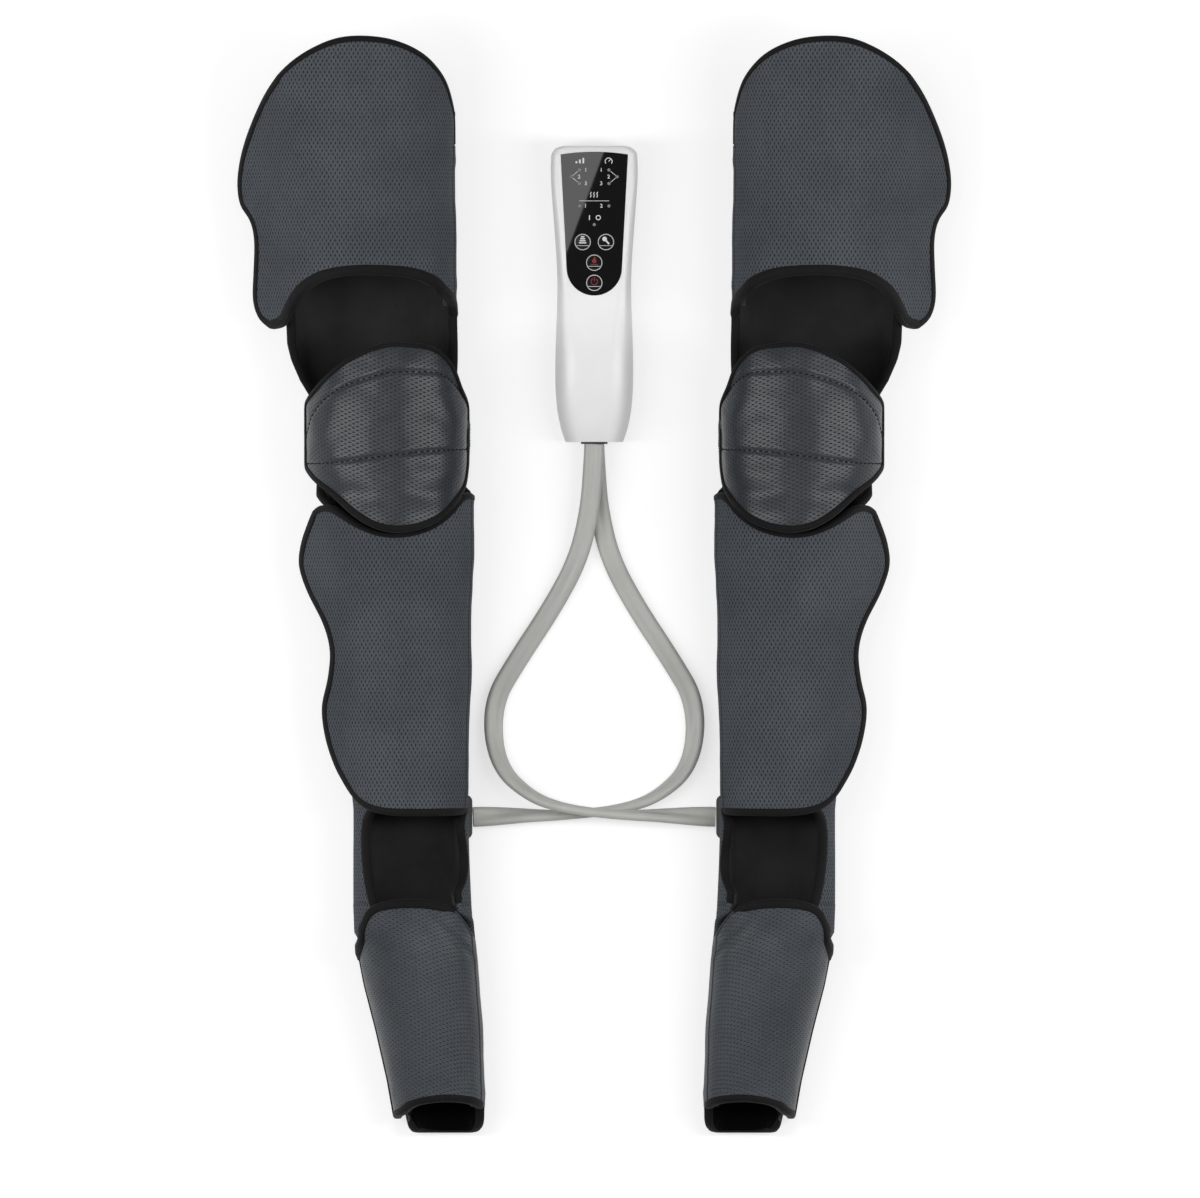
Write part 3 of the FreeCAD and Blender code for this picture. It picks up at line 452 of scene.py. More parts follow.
# one section, from the inner side by way of the middle angle to the outer side, with a straight end
def sectionRow(names, y, middle, grow, start, flare, reach):
    inner, width, radius = sectionAt(names, y)
    row = [wallArc(inner + radius, radius + grow[0], radius, -1, start, middle),
           wallArc(inner + width - radius, radius + grow[1], radius, 1, middle, flare)]
    if reach:
        turn = math.radians(flare)
        ahead = (-math.cos(turn), -math.sin(turn))
        row.append(row[1][-1] + np.outer(np.linspace(0, reach, leg["endPoints"])[1:], ahead))
    return np.concatenate(row)


def blur(values, sigma):
    half = int(3 * sigma)
    kernel = np.exp(-0.5 * (np.arange(-half, half + 1) / sigma) ** 2)
    kernel /= kernel.sum()
    head = 2 * values[0] - values[half:0:-1]
    tail = 2 * values[-1] - values[-2:-half - 2:-1]
    return np.convolve(np.concatenate([head, values, tail]), kernel, "valid")


# a cloth surface: its points by the length round the section, in steps of 1 mm, and the place along the leg
def clothSurface(names, low, high, middle=180, grow=(0, 0), start=90, flare=90, reach=0, soft=8.0, out=1):
    ys = np.linspace(low, high, int((high - low) / leg["rowSpacing"]) + 2)
    lines = [sectionRow(names, y, middle, grow, start, flare, reach) for y in ys]
    lengths = np.array([runAlong(line)[-1] for line in lines])
    grid = np.arange(0, lengths.max() + 2.0, 1.0)
    rows = []
    for line in lines:
        run = runAlong(line)
        slope = (line[-1] - line[-4]) / (run[-1] - run[-4])  # the cloth goes straight on past its end
        past = np.clip(grid - run[-1], 0, None)
        rows.append([blur(np.interp(grid, run, line[:, n]) + past * slope[n], soft) for n in (0, 1)])
    xs, zs = np.array(rows).transpose(1, 0, 2)
    dx, dz = np.gradient(xs, axis=1), np.gradient(zs, axis=1)
    size = np.hypot(dx, dz)
    return {"ys": ys, "grid": grid, "x": xs, "z": zs, "nx": -dz / size * out, "nz": dx / size * out,
            "lengths": lengths}


def readSurface(surface, key, s, y):
    ys, grid = surface["ys"], surface["grid"]
    last = 1.001  # stays just short of the last row
    fy = np.clip((y - ys[0]) / (ys[1] - ys[0]), 0, len(ys) - last)
    fs = np.clip((s - grid[0]) / (grid[1] - grid[0]), 0, len(grid) - last)
    iy, js = fy.astype(int), fs.astype(int)
    ty, ts = fy - iy, fs - js
    t = surface[key]
    return ((t[iy, js] * (1 - ts) + t[iy, js + 1] * ts) * (1 - ty)
            + (t[iy + 1, js] * (1 - ts) + t[iy + 1, js + 1] * ts) * ty)


def surfacePoints(surface, s, y, lift):
    s, y = np.asarray(s, float), np.asarray(y, float)
    x = readSurface(surface, "x", s, y) + readSurface(surface, "nx", s, y) * lift
    z = readSurface(surface, "z", s, y) + readSurface(surface, "nz", s, y) * lift
    return np.stack([x, y, z], -1)


def fullLength(surface, y):
    return np.interp(y, surface["ys"], surface["lengths"])


def onPattern(surface, plan):  # plan points, seen from above, as lengths round the section
    out = []
    for x, y in plan:
        row = readSurface(surface, "x", surface["grid"], np.full(len(surface["grid"]), float(y)))
        stop = int(np.argmax(row)) + 1
        out.append((np.interp(x, row[:stop], surface["grid"][:stop]), y))
    return np.array(out)


def evenLine(line, spacing=2.0, count=None):
    run = runAlong(line)
    count = count or max(int(run[-1] / spacing) + 1, 2)
    marks = np.linspace(0, run[-1], count)
    return np.stack([np.interp(marks, run, line[:, n]) for n in range(line.shape[1])], 1)


def smoothLine(points, spacing=2.0):  # one even curve through the points
    p = np.asarray(points, float)
    ends = np.concatenate([[2 * p[0] - p[1]], p, [2 * p[-1] - p[-2]]])
    steps = 24  # between two points
    t = np.linspace(0, 1, steps, endpoint=False)[:, None]
    out = []
    for a, b, c, d in zip(ends, ends[1:], ends[2:], ends[3:]):
        out.append(0.5 * (2 * b + (c - a) * t + (2 * a - 5 * b + 4 * c - d) * t ** 2
                          + (3 * b - 3 * c + d - a) * t ** 3))
    return evenLine(np.concatenate(out + [p[-1:]]), spacing)


def patchPoints(edges, u, v):  # fill between four edges: low, high, near, far
    count = 200
    low, high, near, far = [evenLine(e, count=count) for e in edges]
    marks = np.linspace(0, 1, count)

    def at(edge, t):
        return np.stack([np.interp(t, marks, edge[:, n]) for n in range(2)], -1)

    u1, v1 = u[:, None], v[:, None]
    ruledA = at(low, u) * (1 - v1) + at(high, u) * v1
    ruledB = at(near, v) * (1 - u1) + at(far, v) * u1
    corner = ((low[0] * (1 - u1) + low[-1] * u1) * (1 - v1) + (high[0] * (1 - u1) + high[-1] * u1) * v1)
    return ruledA + ruledB - corner


def distanceTo(points, line):
    far = np.full(len(points), np.inf)
    block = 2000  # points at a time
    for start in range(0, len(points), block):
        part = points[start:start + block]
        far[start:start + block] = np.sqrt(((part[:, None] - line[None]) ** 2).sum(2)).min(1)
    return far


def slowNoise(s, y, size, seed):
    return np.array([noise.noise(Vector((a / size + seed, b / size, 0))) for a, b in zip(s, y)])


def gridMesh(nu, nv, fill, flip=False):  # a grid of cloth: fill(u, v) gives its points and cloth map
    bm = bmesh.new()
    bmesh.ops.create_grid(bm, x_segments=nu, y_segments=nv, size=1)
    bm.verts.ensure_lookup_table()
    u, v = np.array([((vert.co.x + 1) / 2, (vert.co.y + 1) / 2) for vert in bm.verts]).T
    points, flat = fill(u, v)
    layer = bm.loops.layers.uv.new("cloth")
    for n, vert in enumerate(bm.verts):
        vert.co = points[n] * mm
        vert.index = n
    for face in bm.faces:
        face.smooth = True
        for loop in face.loops:
            loop[layer].uv = flat[loop.vert.index] * mm
    if flip:
        bmesh.ops.reverse_faces(bm, faces=bm.faces)
    return bm


def slabMesh(nu, nv, outer, inner):  # a closed piece between two faces of cloth
    bm = gridMesh(nu, nv, outer)
    lining = gridMesh(nu, nv, inner, True)
    for face in lining.faces:
        face.material_index = 1
    spare = bpy.data.meshes.new("spare")
    lining.to_mesh(spare)
    lining.free()
    bm.from_mesh(spare)
    bpy.data.meshes.remove(spare)
    made = bmesh.ops.bridge_loops(bm, edges=[e for e in bm.edges if e.is_boundary])
    for face in made["faces"]:
        face.smooth = True
        face.material_index = 1
    bmesh.ops.recalc_face_normals(bm, faces=bm.faces)
    return bm


# tape bound round an edge, its section folded over both faces
binding = {"spacing": 2.2, "ease": 1.4, "proud": 0.8, "mapWide": 6, "corner": 0.7, "bow": 0.05,
           "across": (0.85, 0.5, 0.12), "bulge": (0.7, 0.62)}


def tapeMesh(surface, path, high, middle, side):  # path: length round, place along, width of the tape
    path = evenLine(path, binding["spacing"])
    path = np.stack([blur(path[:, n], binding["ease"]) for n in range(3)], 1)  # eases sharp corners
    centre = middle(path) if callable(middle) else middle
    point = surfacePoints(surface, path[:, 0], path[:, 1], centre)
    up = unit(surfacePoints(surface, path[:, 0], path[:, 1], centre + 1.0) - point)
    inward = unit(np.cross(up, unit(np.gradient(point, axis=0))) * side)
    h, proud = high / 2, binding["proud"]
    (far, half, near), (past, rise), bow = binding["across"], binding["bulge"], binding["bow"]
    # the upper half of the tape's section: share of its width, way past the edge, height
    upper = [(1, 0, 0), (1, 0, h - binding["corner"]), (far, 0, h - bow), (half, 0, h), (near, 0, h - bow),
             (0, -proud * past, h * rise)]
    ring = np.array(upper + [(0, -proud, 0)] + [(a, b, -c) for a, b, c in upper[::-1]])
    run = runAlong(point)
    girth = runAlong(ring * (binding["mapWide"], 1, 1))

    def fill(u, v):
        i, j = np.rint(u * (len(path) - 1)).astype(int), np.rint(v * (len(ring) - 1)).astype(int)
        spot = point[i] + inward[i] * (ring[j, :1] * path[i, 2:] + ring[j, 1:2]) + up[i] * ring[j, 2:]
        return spot, np.stack([run[i], girth[j]], 1)

    bm = gridMesh(len(path) - 1, len(ring) - 1, fill)
    bmesh.ops.remove_doubles(bm, verts=bm.verts, dist=1e-6)
    bmesh.ops.holes_fill(bm, edges=[e for e in bm.edges if e.is_boundary], sides=0)
    bmesh.ops.recalc_face_normals(bm, faces=bm.faces)
    return bm


# flaps: edges seen from above, from the fold on the inner side to the outer edge
thigh = {
    "names": ("top", "thighEnd"), "reach": (175, 430), "flare": 125, "straight": 80, "fold": (200, 330),
    "trim": (9, 1), "cover": "greyMesh", "seed": 1.0,
    "tape": (3.8, 5.5, 7.5), "hook": (9.6, 35.2, 216.6, 328.9),
    "top": [(104.8, 350), (106.8, 363), (112, 379), (122.3, 392.6), (134, 401), (149, 407), (165, 409.8),
            (182, 410), (197, 407.2), (212, 400.9), (226, 392), (237.5, 381.4)],
    "side": [(243.2, 191.8), (252, 200), (256, 214), (255.4, 235), (254.8, 254), (256, 266), (259.4, 275),
             (265.4, 284), (267.6, 297), (267, 310), (263.6, 327), (257, 346), (248, 365.6), (237.5, 381.4)],
    "low": [(104.3, 208.4), (111.7, 216.5), (119.1, 223.5), (131, 228.6), (145.7, 231.4), (163.6, 232.4),
            (181.4, 232.1), (199.1, 229.4), (211, 224.8), (220.8, 217.3), (227.2, 208), (231.4, 198.8),
            (236, 193.6), (243.2, 191.8)],
}
calf = {
    "names": ("calf", "ankle"), "reach": (-190, 90), "flare": 125, "straight": 56, "fold": (-172, 67),
    "trim": (1, 1), "cover": "greyMesh", "seed": 11.0,
    "tape": (4.5, 6.2, 5), "topTape": (1, (38, 56), (2.4, 4.5)), "hook": (2.8, 14, -117.8, 28.1),
    "top": [(93, 68.4), (97, 67.4), (101.5, 63.6), (107.9, 55.8), (116, 48.2), (126, 42), (138, 38.2),
            (148, 37.2), (157, 37.6), (166, 40), (175.7, 44.4), (184, 49.6), (190.7, 54.4), (195, 57.4),
            (200, 59), (206.5, 58.6), (211.4, 55)],
    "side": [(185, -154.5), (194.6, -137), (201.8, -115), (204.4, -92), (200, -71), (198.2, -50),
             (203.3, -30), (215.2, -6), (221.6, 14), (220, 31), (215.4, 45), (211.4, 55)],
    "low": [(105, -172.6), (130, -173), (150, -172.6), (166, -170), (177, -164), (185, -154.5)],
}
foot = {
    "names": ("foot", "heel", "instep", "foreFoot", "midFoot", "ballFoot", "toe"), "reach": (-412, -232),
    "flare": 92, "straight": 15, "fold": (-393, -263), "trim": (1, 1), "cover": "footMesh", "seed": 21.0,
    "tape": (6, 4.5, 5.5), "topTape": (0, (30, 38), (0.9, 6)), "sideReach": (-401, -278),
    "turned": (42, 25), "plainEdge": (104, -280), "foldGap": 6.5, "hook": (2.3, 12.7, -368.3, -291.3),
    "top": [(92.4, -262), (95, -256.5), (99, -250.5), (104.5, -244.5), (111, -240), (122.3, -237.4),
            (139.7, -236.4), (153.5, -237.5), (163, -239.4), (169.9, -243.6), (173.8, -250), (176.4, -258),
            (177.4, -266)],
    "low": [(89.5, -390), (98.2, -388.2), (110.3, -387.4), (122.3, -388.2), (132.8, -390), (139.7, -392.8),
            (145, -397)],
    "crease": [(114, -250), (110, -254), (104, -260), (98, -266), (92, -272)],
}
flaps = {"thigh": thigh, "calf": calf, "foot": foot}
flapTape = {"over": 1.4, "hookGrid": (8, 4)}
# slow waves over a flap, puckers beside its tape and one ridge with a dip each side
ripple = {"slow": 46, "slowHigh": 1.3, "slowEase": 22, "fine": 13, "fineSeed": 5, "fineHigh": 0.2,
          "pucker": 0.9, "puckerAt": (12, 9), "held": (5, 14), "sunk": 0.1,
          "ridge": 1.5, "ridgeWide": 1.8, "dip": 1.3, "dipAt": (5, 3.5)}


def clothMap(flap, sy):  # the foot's cloth is cut across, and pulled askew beside its fold
    if "turned" not in flap:
        return sy
    pull, ease = flap["turned"]
    return np.stack([sy[:, 1] + pull * np.exp(-sy[:, 0] / ease), sy[:, 0]], 1)


def cutFlap(flap):  # its cloth surface, and its edges as lengths on it
    surface = clothSurface(flap["names"], *flap["reach"], grow=(0, leg["wrap"]), flare=flap["flare"],
                           reach=flap["straight"])
    start = flap.get("foldGap", leg["foldGap"])
    near = np.array([(start, end) for end in flap["fold"]], float)
    bottom, top = [np.concatenate([corner[None], onPattern(surface, flap[n])])
                   for corner, n in zip(near, ("low", "top"))]
    if "side" in flap:
        side = onPattern(surface, flap["side"])
    else:  # the outer edge follows the end of the section
        ends = np.linspace(*flap["sideReach"], 6)
        side = np.stack([fullLength(surface, ends), ends], 1)
        top = np.concatenate([top, side[-1:]])
        bottom = np.concatenate([bottom, side[:1]])
    if "crease" in flap:
        flap["creaseLine"] = smoothLine(onPattern(surface, flap["crease"]))
    bottom, top, near, side = smoothLine(bottom), smoothLine(top), evenLine(near), smoothLine(side)
    flap["surface"], flap["edges"] = surface, (bottom, top, near, side)
    flap["border"] = np.concatenate([top, side[::-1], bottom[::-1]])


def flapLift(flap, sy):
    s, y = sy.T
    waves = slowNoise(s, y, ripple["slow"], flap["seed"]) * ripple["slowHigh"]
    fine = slowNoise(s, y, ripple["fine"], flap["seed"] + ripple["fineSeed"])
    inside = distanceTo(sy, flap["border"])
    free = share(inside, *ripple["held"])  # held flat under the tape
    fineHigh = ripple["fineHigh"] + ripple["pucker"] * bell(inside, *ripple["puckerAt"])
    lift = waves * np.clip(inside / ripple["slowEase"], 0, 1) + fine * free * fineHigh - ripple["sunk"]
    if "creaseLine" in flap:  # a sharp fold where the instep turns to the inner side
        gap = distanceTo(sy, flap["creaseLine"])
        ridge = ripple["ridge"] * bell(gap, 0, ripple["ridgeWide"])
        lift = lift + free * (ridge - ripple["dip"] * bell(gap, *ripple["dipAt"]))
    return lift


def makeFlap(name, flap):
    cutFlap(flap)
    surface, border = flap["surface"], flap["border"]
    bottom, top, near, side = flap["edges"]
    nu = int(max(top[:, 0].max(), bottom[:, 0].max()) / leg["fineness"])
    nv = int(np.ptp(border[:, 1]) / leg["fineness"])
    title, body = name.capitalize(), "{}_" + name + "_flap"

    def layer(lift):
        def fill(u, v):
            sy = patchPoints(flap["edges"], u, v)
            return surfacePoints(surface, *sy.T, lift + flapLift(flap, sy)), clothMap(flap, sy)
        return fill

    layers = (("Cover", 0, flap["cover"], "grey_mesh"),
              ("Lining", -leg["cover"] - leg["layerGap"], "blackLining", "black_lining"))
    for part, lift, finish, slot in layers:
        node = name + "_flap_" + part.lower()
        pairOf(gridMesh(nu, nv, layer(lift)), title + "Flap" + part, [finish], body, [node],
               leg[part.lower()])
    widths = np.concatenate([np.full(len(e), w) for e, w in zip((top, side, bottom), flap["tape"])])
    if "topTape" in flap:
        by, spots, wide = flap["topTape"]
        widths[:len(top)] = np.interp(top[:, by], spots, wide)
    tape = tapeMesh(surface, np.column_stack([border, widths]), leg["flap"] + flapTape["over"],
                    -leg["flap"] / 2, -1)
    if "plainEdge" in flap:  # beside the ankle the foot's edge is hemmed in its own cloth
        for face in tape.faces:
            spot = face.calc_center_median() / mm
            face.material_index = int(spot.x < flap["plainEdge"][0] and spot.y > flap["plainEdge"][1])
    pairOf(tape, title + "FlapTape", ["blackTape", flap["cover"]], body, [])

    first, last, start, stop = flap["hook"]

    def strip(u, v):  # hook tape on the inner face, follows the lining
        y = start + (stop - start) * v
        s = fullLength(surface, y) - flap["straight"] + first + (last - first) * u
        sy = np.stack([s, y], 1)
        return surfacePoints(surface, s, y, flapLift(flap, sy) - leg["flap"]), sy

    nu, spacing = flapTape["hookGrid"]
    pairOf(gridMesh(nu, int((stop - start) / spacing), strip), title + "HookStrip", ["hookTape"], body,
           [name + "_hook_strip"], leg["hook"])


for name, flap in flaps.items():
    makeFlap(name, flap)
print("flaps sewn")

# back of the sleeve: cover panels outside, one black lining inside, tape on its open rims
back = {
    "names": ("brow", "thighEnd", "kneeHigh", "kneeFull", "kneeTaper", "kneeWaist", "knee", "shin", "shinLow",
              "calf", "ankle", "foot", "heel", "instep", "foreFoot", "midFoot", "soleBall", "soleToe"),
    "reach": (-412, 356), "toe": -411, "top": 355, "spare": 130, "flare": 165, "soft": 3.0,
    "panels": {"ThighBack": (195, 355, "greyMesh", "thigh_back_cover", "grey_mesh"),
               "KneeBack": (60, 195, "blackLining", "knee_back_panel", "black_lining"),
               "CalfBack": (-240, 60, "greyMesh", "calf_back_cover", "grey_mesh"),
               "Sole": (-411, -240, "greyMesh", "sole_cover", "grey_mesh")},
    "panelGrid": (60, 3.5), "panelSeed": 7.0, "panelWave": 0.35, "thinEdge": (0.5, 5),
    "liningGrid": (64, 220), "liningSeed": 40.0, "liningWave": 1.0, "liningCut": (190, 766, "folded", 110000),
    "wave": 34, "waveEase": 12, "rimRise": 24, "trim": 1.4,
    # folds of the lining beside the ankle window: stretch, size, seed, height, places along and round
    "window": (1.6, 15, 70.0, 4, (-212, 24), (12, 12)),
    "tape": 5, "thinTape": 2.6, "tapeOver": 0.8, "hem": -239, "toeRound": (19, 13),
    "rimReach": (-395, 354.9), "rimPoints": 320, "toePoints": 60, "toeLift": 0.1,
    "kneeRim": (62, 207), "ankleRim": (-266, -166),
    # rims by place along the leg, in degrees from straight down
    "outerRim": [(-411, 90), (-300, 90), (-276, 100), (-256, 128), (-246, 150), (-240, 148), (-232, 142),
                 (-222, 137), (-207, 132), (-190, 129.5), (-178, 132), (-171, 140), (-166, 150),
                 (-160, 135), (-140, 126), (60, 112), (76, 90), (110, 90), (195, 102), (355, 106.4)],
    "innerRim": [(-411, 90), (-258, 90), (-253, 98), (-248, 122), (-244.5, 135), (-241, 139), (-234, 135.5),
                 (-226, 124), (-218, 112), (-210, 107), (-200, 109), (-188, 115), (-178, 116), (-171, 105),
                 (-166, 91), (-160, 90), (355, 90)],
}


def rimAt(name, y):
    return np.interp(y, *np.array(back[name], float).T)


def backLength(side, y, degrees):  # length round the back from its spare start to an angle on one side wall
    rows = np.array([sectionAt(back["names"], v) for v in np.atleast_1d(y)])
    width, radius = rows[:, 1], rows[:, 2]
    if side < 0:
        return radius * np.radians(back["spare"] - degrees)
    return radius * np.radians(back["spare"]) + width - 2 * radius + radius * np.radians(degrees)


def rimLengths(y):
    return backLength(-1, y, rimAt("innerRim", y)), backLength(1, y, rimAt("outerRim", y))


def makeBack():
    surface = clothSurface(back["names"], *back["reach"], middle=0, start=back["spare"], flare=back["flare"],
                           soft=back["soft"], out=-1)
    toeFirst, toeLast = [float(s[0]) for s in rimLengths(np.array([float(back["toe"])]))]
    toeWide = toeLast - toeFirst

    def toeEnd(u):  # rounded corners of the toe end
        ends = []
        for radius, away in zip(back["toeRound"], (u * toeWide, (1 - u) * toeWide)):
            off = np.clip(radius - away, 0, radius)
            ends.append(radius - np.sqrt(radius * radius - off * off))
        return back["toe"] + np.maximum(*ends)

    def panel(low, high, seed, wave, inside=False):
        def fill(u, v):
            trim = back["trim"]
            start = toeEnd(u) + trim if low == back["toe"] else np.full(len(u), float(low))
            y = start + (high - start) * v
            a, b = rimLengths(y)
            s = a + trim + (b - a - 2 * trim) * u
            fromRim = np.minimum(np.minimum(s - a, b - s), y - back["toe"])
            rise = slowNoise(s, y, back["wave"], seed) * wave * np.clip(fromRim / back["waveEase"], 0, 1)
            if inside:
                deep = (leg["wall"] - leg["rimWall"]) * swell(fromRim, back["rimRise"])
                stretch, size, foldSeed, tall, along, across = back["window"]
                fold = slowNoise(s * stretch, y, size, foldSeed) * bell(y, *along)
                rise = rise - leg["rimWall"] + leg["lining"] - deep - tall * np.abs(fold) * bell(s - a, *across)
            else:
                sunk, edge = back["thinEdge"]
                rise = rise - sunk * np.clip(1 - fromRim / edge, 0, 1)
            return surfacePoints(surface, s, y, rise), np.stack([s, y], 1)
        return fill

    nu, spacing = back["panelGrid"]
    for n, (name, (low, high, finish, node, slot)) in enumerate(back["panels"].items()):
        fill = panel(low, high, n * back["panelSeed"], back["panelWave"])
        pairOf(gridMesh(nu, int((high - low) / spacing), fill, True), name, [finish], rootBody, [node],
               leg["cover"])
    fill = panel(back["toe"], back["top"], back["liningSeed"], back["liningWave"], True)
    pairOf(gridMesh(*back["liningGrid"], fill, True), "BackLining", ["soleLining"], rootBody,
           ["back_lining", "air_bladders", "air_line"], leg["lining"])

    ys = np.linspace(*back["rimReach"], back["rimPoints"])
    inner, outer = [np.stack([s, ys], 1) for s in rimLengths(ys)]
    us = np.linspace(0, 1, back["toePoints"])
    toePath = np.stack([toeFirst + us * toeWide, toeEnd(us) + back["toeLift"]], 1)
    rims = {"OuterRim": (np.concatenate([inner[-1:], outer[::-1], toePath[::-1]]), back["tape"])}
    for name, width in (("kneeRim", back["tape"]), ("ankleRim", back["thinTape"])):
        low, high = back[name]
        rims[name[0].upper() + name[1:]] = (inner[(ys > low) & (ys < high)], width)
    for name, (path, width) in rims.items():
        path = np.column_stack([path, np.full(len(path), width)])
        tape = tapeMesh(surface, path, leg["rimWall"] + back["tapeOver"], -leg["rimWall"] / 2, 1)
        if name == "AnkleRim":  # below the ankle the rim is hemmed in its own cloth
            for face in tape.faces:
                face.material_index = int(face.calc_center_median().y < back["hem"] * mm)
        pairOf(tape, name, ["blackTape", "greyMesh"], rootBody, [])
    return surface


backSurface = makeBack()
print("back sewn")

# a strip of cloth over each fold, from the back onto its flap
foldStrip = {"half": 10, "proud": 0.35, "bend": 7, "spare": 0.5, "core": 1.0, "grid": 16}


def makeFold(name, flap):
    surface = flap["surface"]
    low, high = flap["fold"][0] + flap["trim"][0], flap["fold"][1] - flap["trim"][1]
    half = foldStrip["half"]

    def layer(inside):
        def fill(u, v):
            y = low + (high - low) * v
            over = np.clip(half * (2 * u - 1), 0, None)  # past the fold, on the flap
            below = np.clip(half * (1 - 2 * u), 0, None)  # short of it, on the back
            lift = flapLift(flap, np.stack([over, y], 1)) * (1 - below / half)
            if inside:
                lift = lift - leg["flap"] - foldStrip["spare"] - foldStrip["core"] * (1 - over / half)
                lift = lift - (leg["wall"] - leg["rimWall"]) * swell(below, back["rimRise"])
            else:
                lift = lift + foldStrip["proud"]
            turn = 90 - np.degrees(below / np.array([sectionAt(back["names"], at)[2] for at in y]))
            onBack = surfacePoints(backSurface, backLength(-1, y, turn), y, lift)
            onFlap = surfacePoints(surface, over, y, lift)
            flat = clothMap(flap, np.stack([over - below, y], 1))
            return np.where((over > 0)[:, None], onFlap, onBack), flat
        return fill

    ends = surfacePoints(surface, [0, 0], [low, high], 0)
    line = ends[1] - ends[0]
    across = np.array([0, -line[2], line[1]]) / np.hypot(line[1], line[2]) * foldStrip["bend"]
    bend = [(ends.mean(0) + sign * across) * mm for sign in (-1, 1)]
    bm = slabMesh(foldStrip["grid"], int((high - low) / leg["fineness"]), layer(False), layer(True))
    pairOf(bm, name.capitalize() + "Fold", [flap["cover"], "blackLining"], "{}_" + name + "_flap", [],
           bend=bend)


for name, flap in flaps.items():
    makeFold(name, flap)
print("folds sewn")

# a webbing tab each side of the knee, from the back up to the pad
strap = {"low": 80, "high": 110, "first": 30, "last": 97, "under": 118, "thick": 1.8, "gap": 0.5, "tuck": 2.7,
         "tuckTurn": (92, 98), "thinEdge": (0.5, 2.5), "outerGrid": (26, 14), "innerGrid": (36, 14),
         "hinge": ((94, 95, 47), (94, 95, 61))}


def makeStraps():
    high = strap["high"] - strap["low"]

    def tab(side, last):
        def fill(u, v):
            y = strap["low"] + high * v
            turn = strap["first"] + (last - strap["first"]) * u
            s = backLength(side, y, turn)
            sunk, edge = strap["thinEdge"]
            lift = strap["gap"] + strap["thick"] - sunk * np.clip(1 - np.minimum(v, 1 - v) * high / edge, 0, 1)
            if side < 0:  # the inner tab tucks in under the pad
                lift = lift - strap["tuck"] * share(turn, *strap["tuckTurn"])
            return surfacePoints(backSurface, s, y, lift), np.stack([s, y], 1)
        return fill

    pairOf(gridMesh(*strap["outerGrid"], tab(1, strap["last"]), True), "KneeStrap", ["webbing"], rootBody,
           ["knee_straps"], strap["thick"])
    hinge = [(x * mm, y * mm, z * mm) for x, y, z in strap["hinge"]]
    pairOf(gridMesh(*strap["innerGrid"], tab(-1, strap["under"])), "KneeHingeStrap", ["webbing"],
           "{}_knee_cushion", [], strap["thick"], hinge)


makeStraps()
print("straps sewn")

# knee pad: three crowned panels between two sewn channels, black tape round its edge
pad = {
    "thick": 8, "seat": 1, "drop": 8, "soft": 7.0, "reach": (20, 200), "grid": (1.5, 100), "skew": 0.14,
    "crown": 13.8, "edge": 9.6, "fullness": 32, "channel": 0.8, "channelWide": 1.5, "firm": (0.25, 16),
    "side": (12, 8.6), "sideSpan": (0.4, 0.6), "sideWide": 14, "sideEase": (3, 0.75), "crease": (15, 60.0, 0.5),
    "lobeLift": (72, 38, 5), "topLift": (145, 178, 2.5), "fold": (91, 133), "far": (87, 136),
    "tape": 4.8, "piping": 3.2, "tapeOver": 2.4, "tapeSunk": 0.6,
    "stitch": 4.4, "thread": 0.55, "threadLong": 2.6, "threadGrid": (6, 5),
    "bulge": [(70, 0.5), (78, 0.62), (92, 0.9), (104, 1.0), (120, 1.0), (130, 0.86), (141, 0.6), (150, 0.4)],
    "low": [(97.8, 79.5), (99.8, 70.2), (107, 59.4), (116.7, 49.9), (126, 44), (136.6, 40.7), (149.5, 39.2),
            (162.5, 41.8), (170.8, 46), (178.4, 51.3), (188, 59.6), (197.3, 67.7), (206.5, 75.6), (211, 81)],
    "top": [(97.8, 138.5), (101.5, 147.5), (105.5, 158), (110.3, 166.8), (117.8, 174.8), (127, 179),
            (139, 180.6), (151.4, 181), (162.6, 179), (175.7, 173.4), (188.9, 165.2), (203, 152.4),
            (209.5, 144.6)],
    "arch": [(96, 132), (103.7, 146.6), (111.2, 153.4), (121, 158.7), (134.5, 159.4), (151.7, 158.7),
             (168.2, 154.9), (189.2, 146.6), (203.5, 133.9), (210.2, 119.7), (214, 108)],
    "cross": [(96, 101.6), (123.3, 100), (151.7, 96.7), (172.7, 94.1), (193.7, 91.1), (214, 90.4)],
}


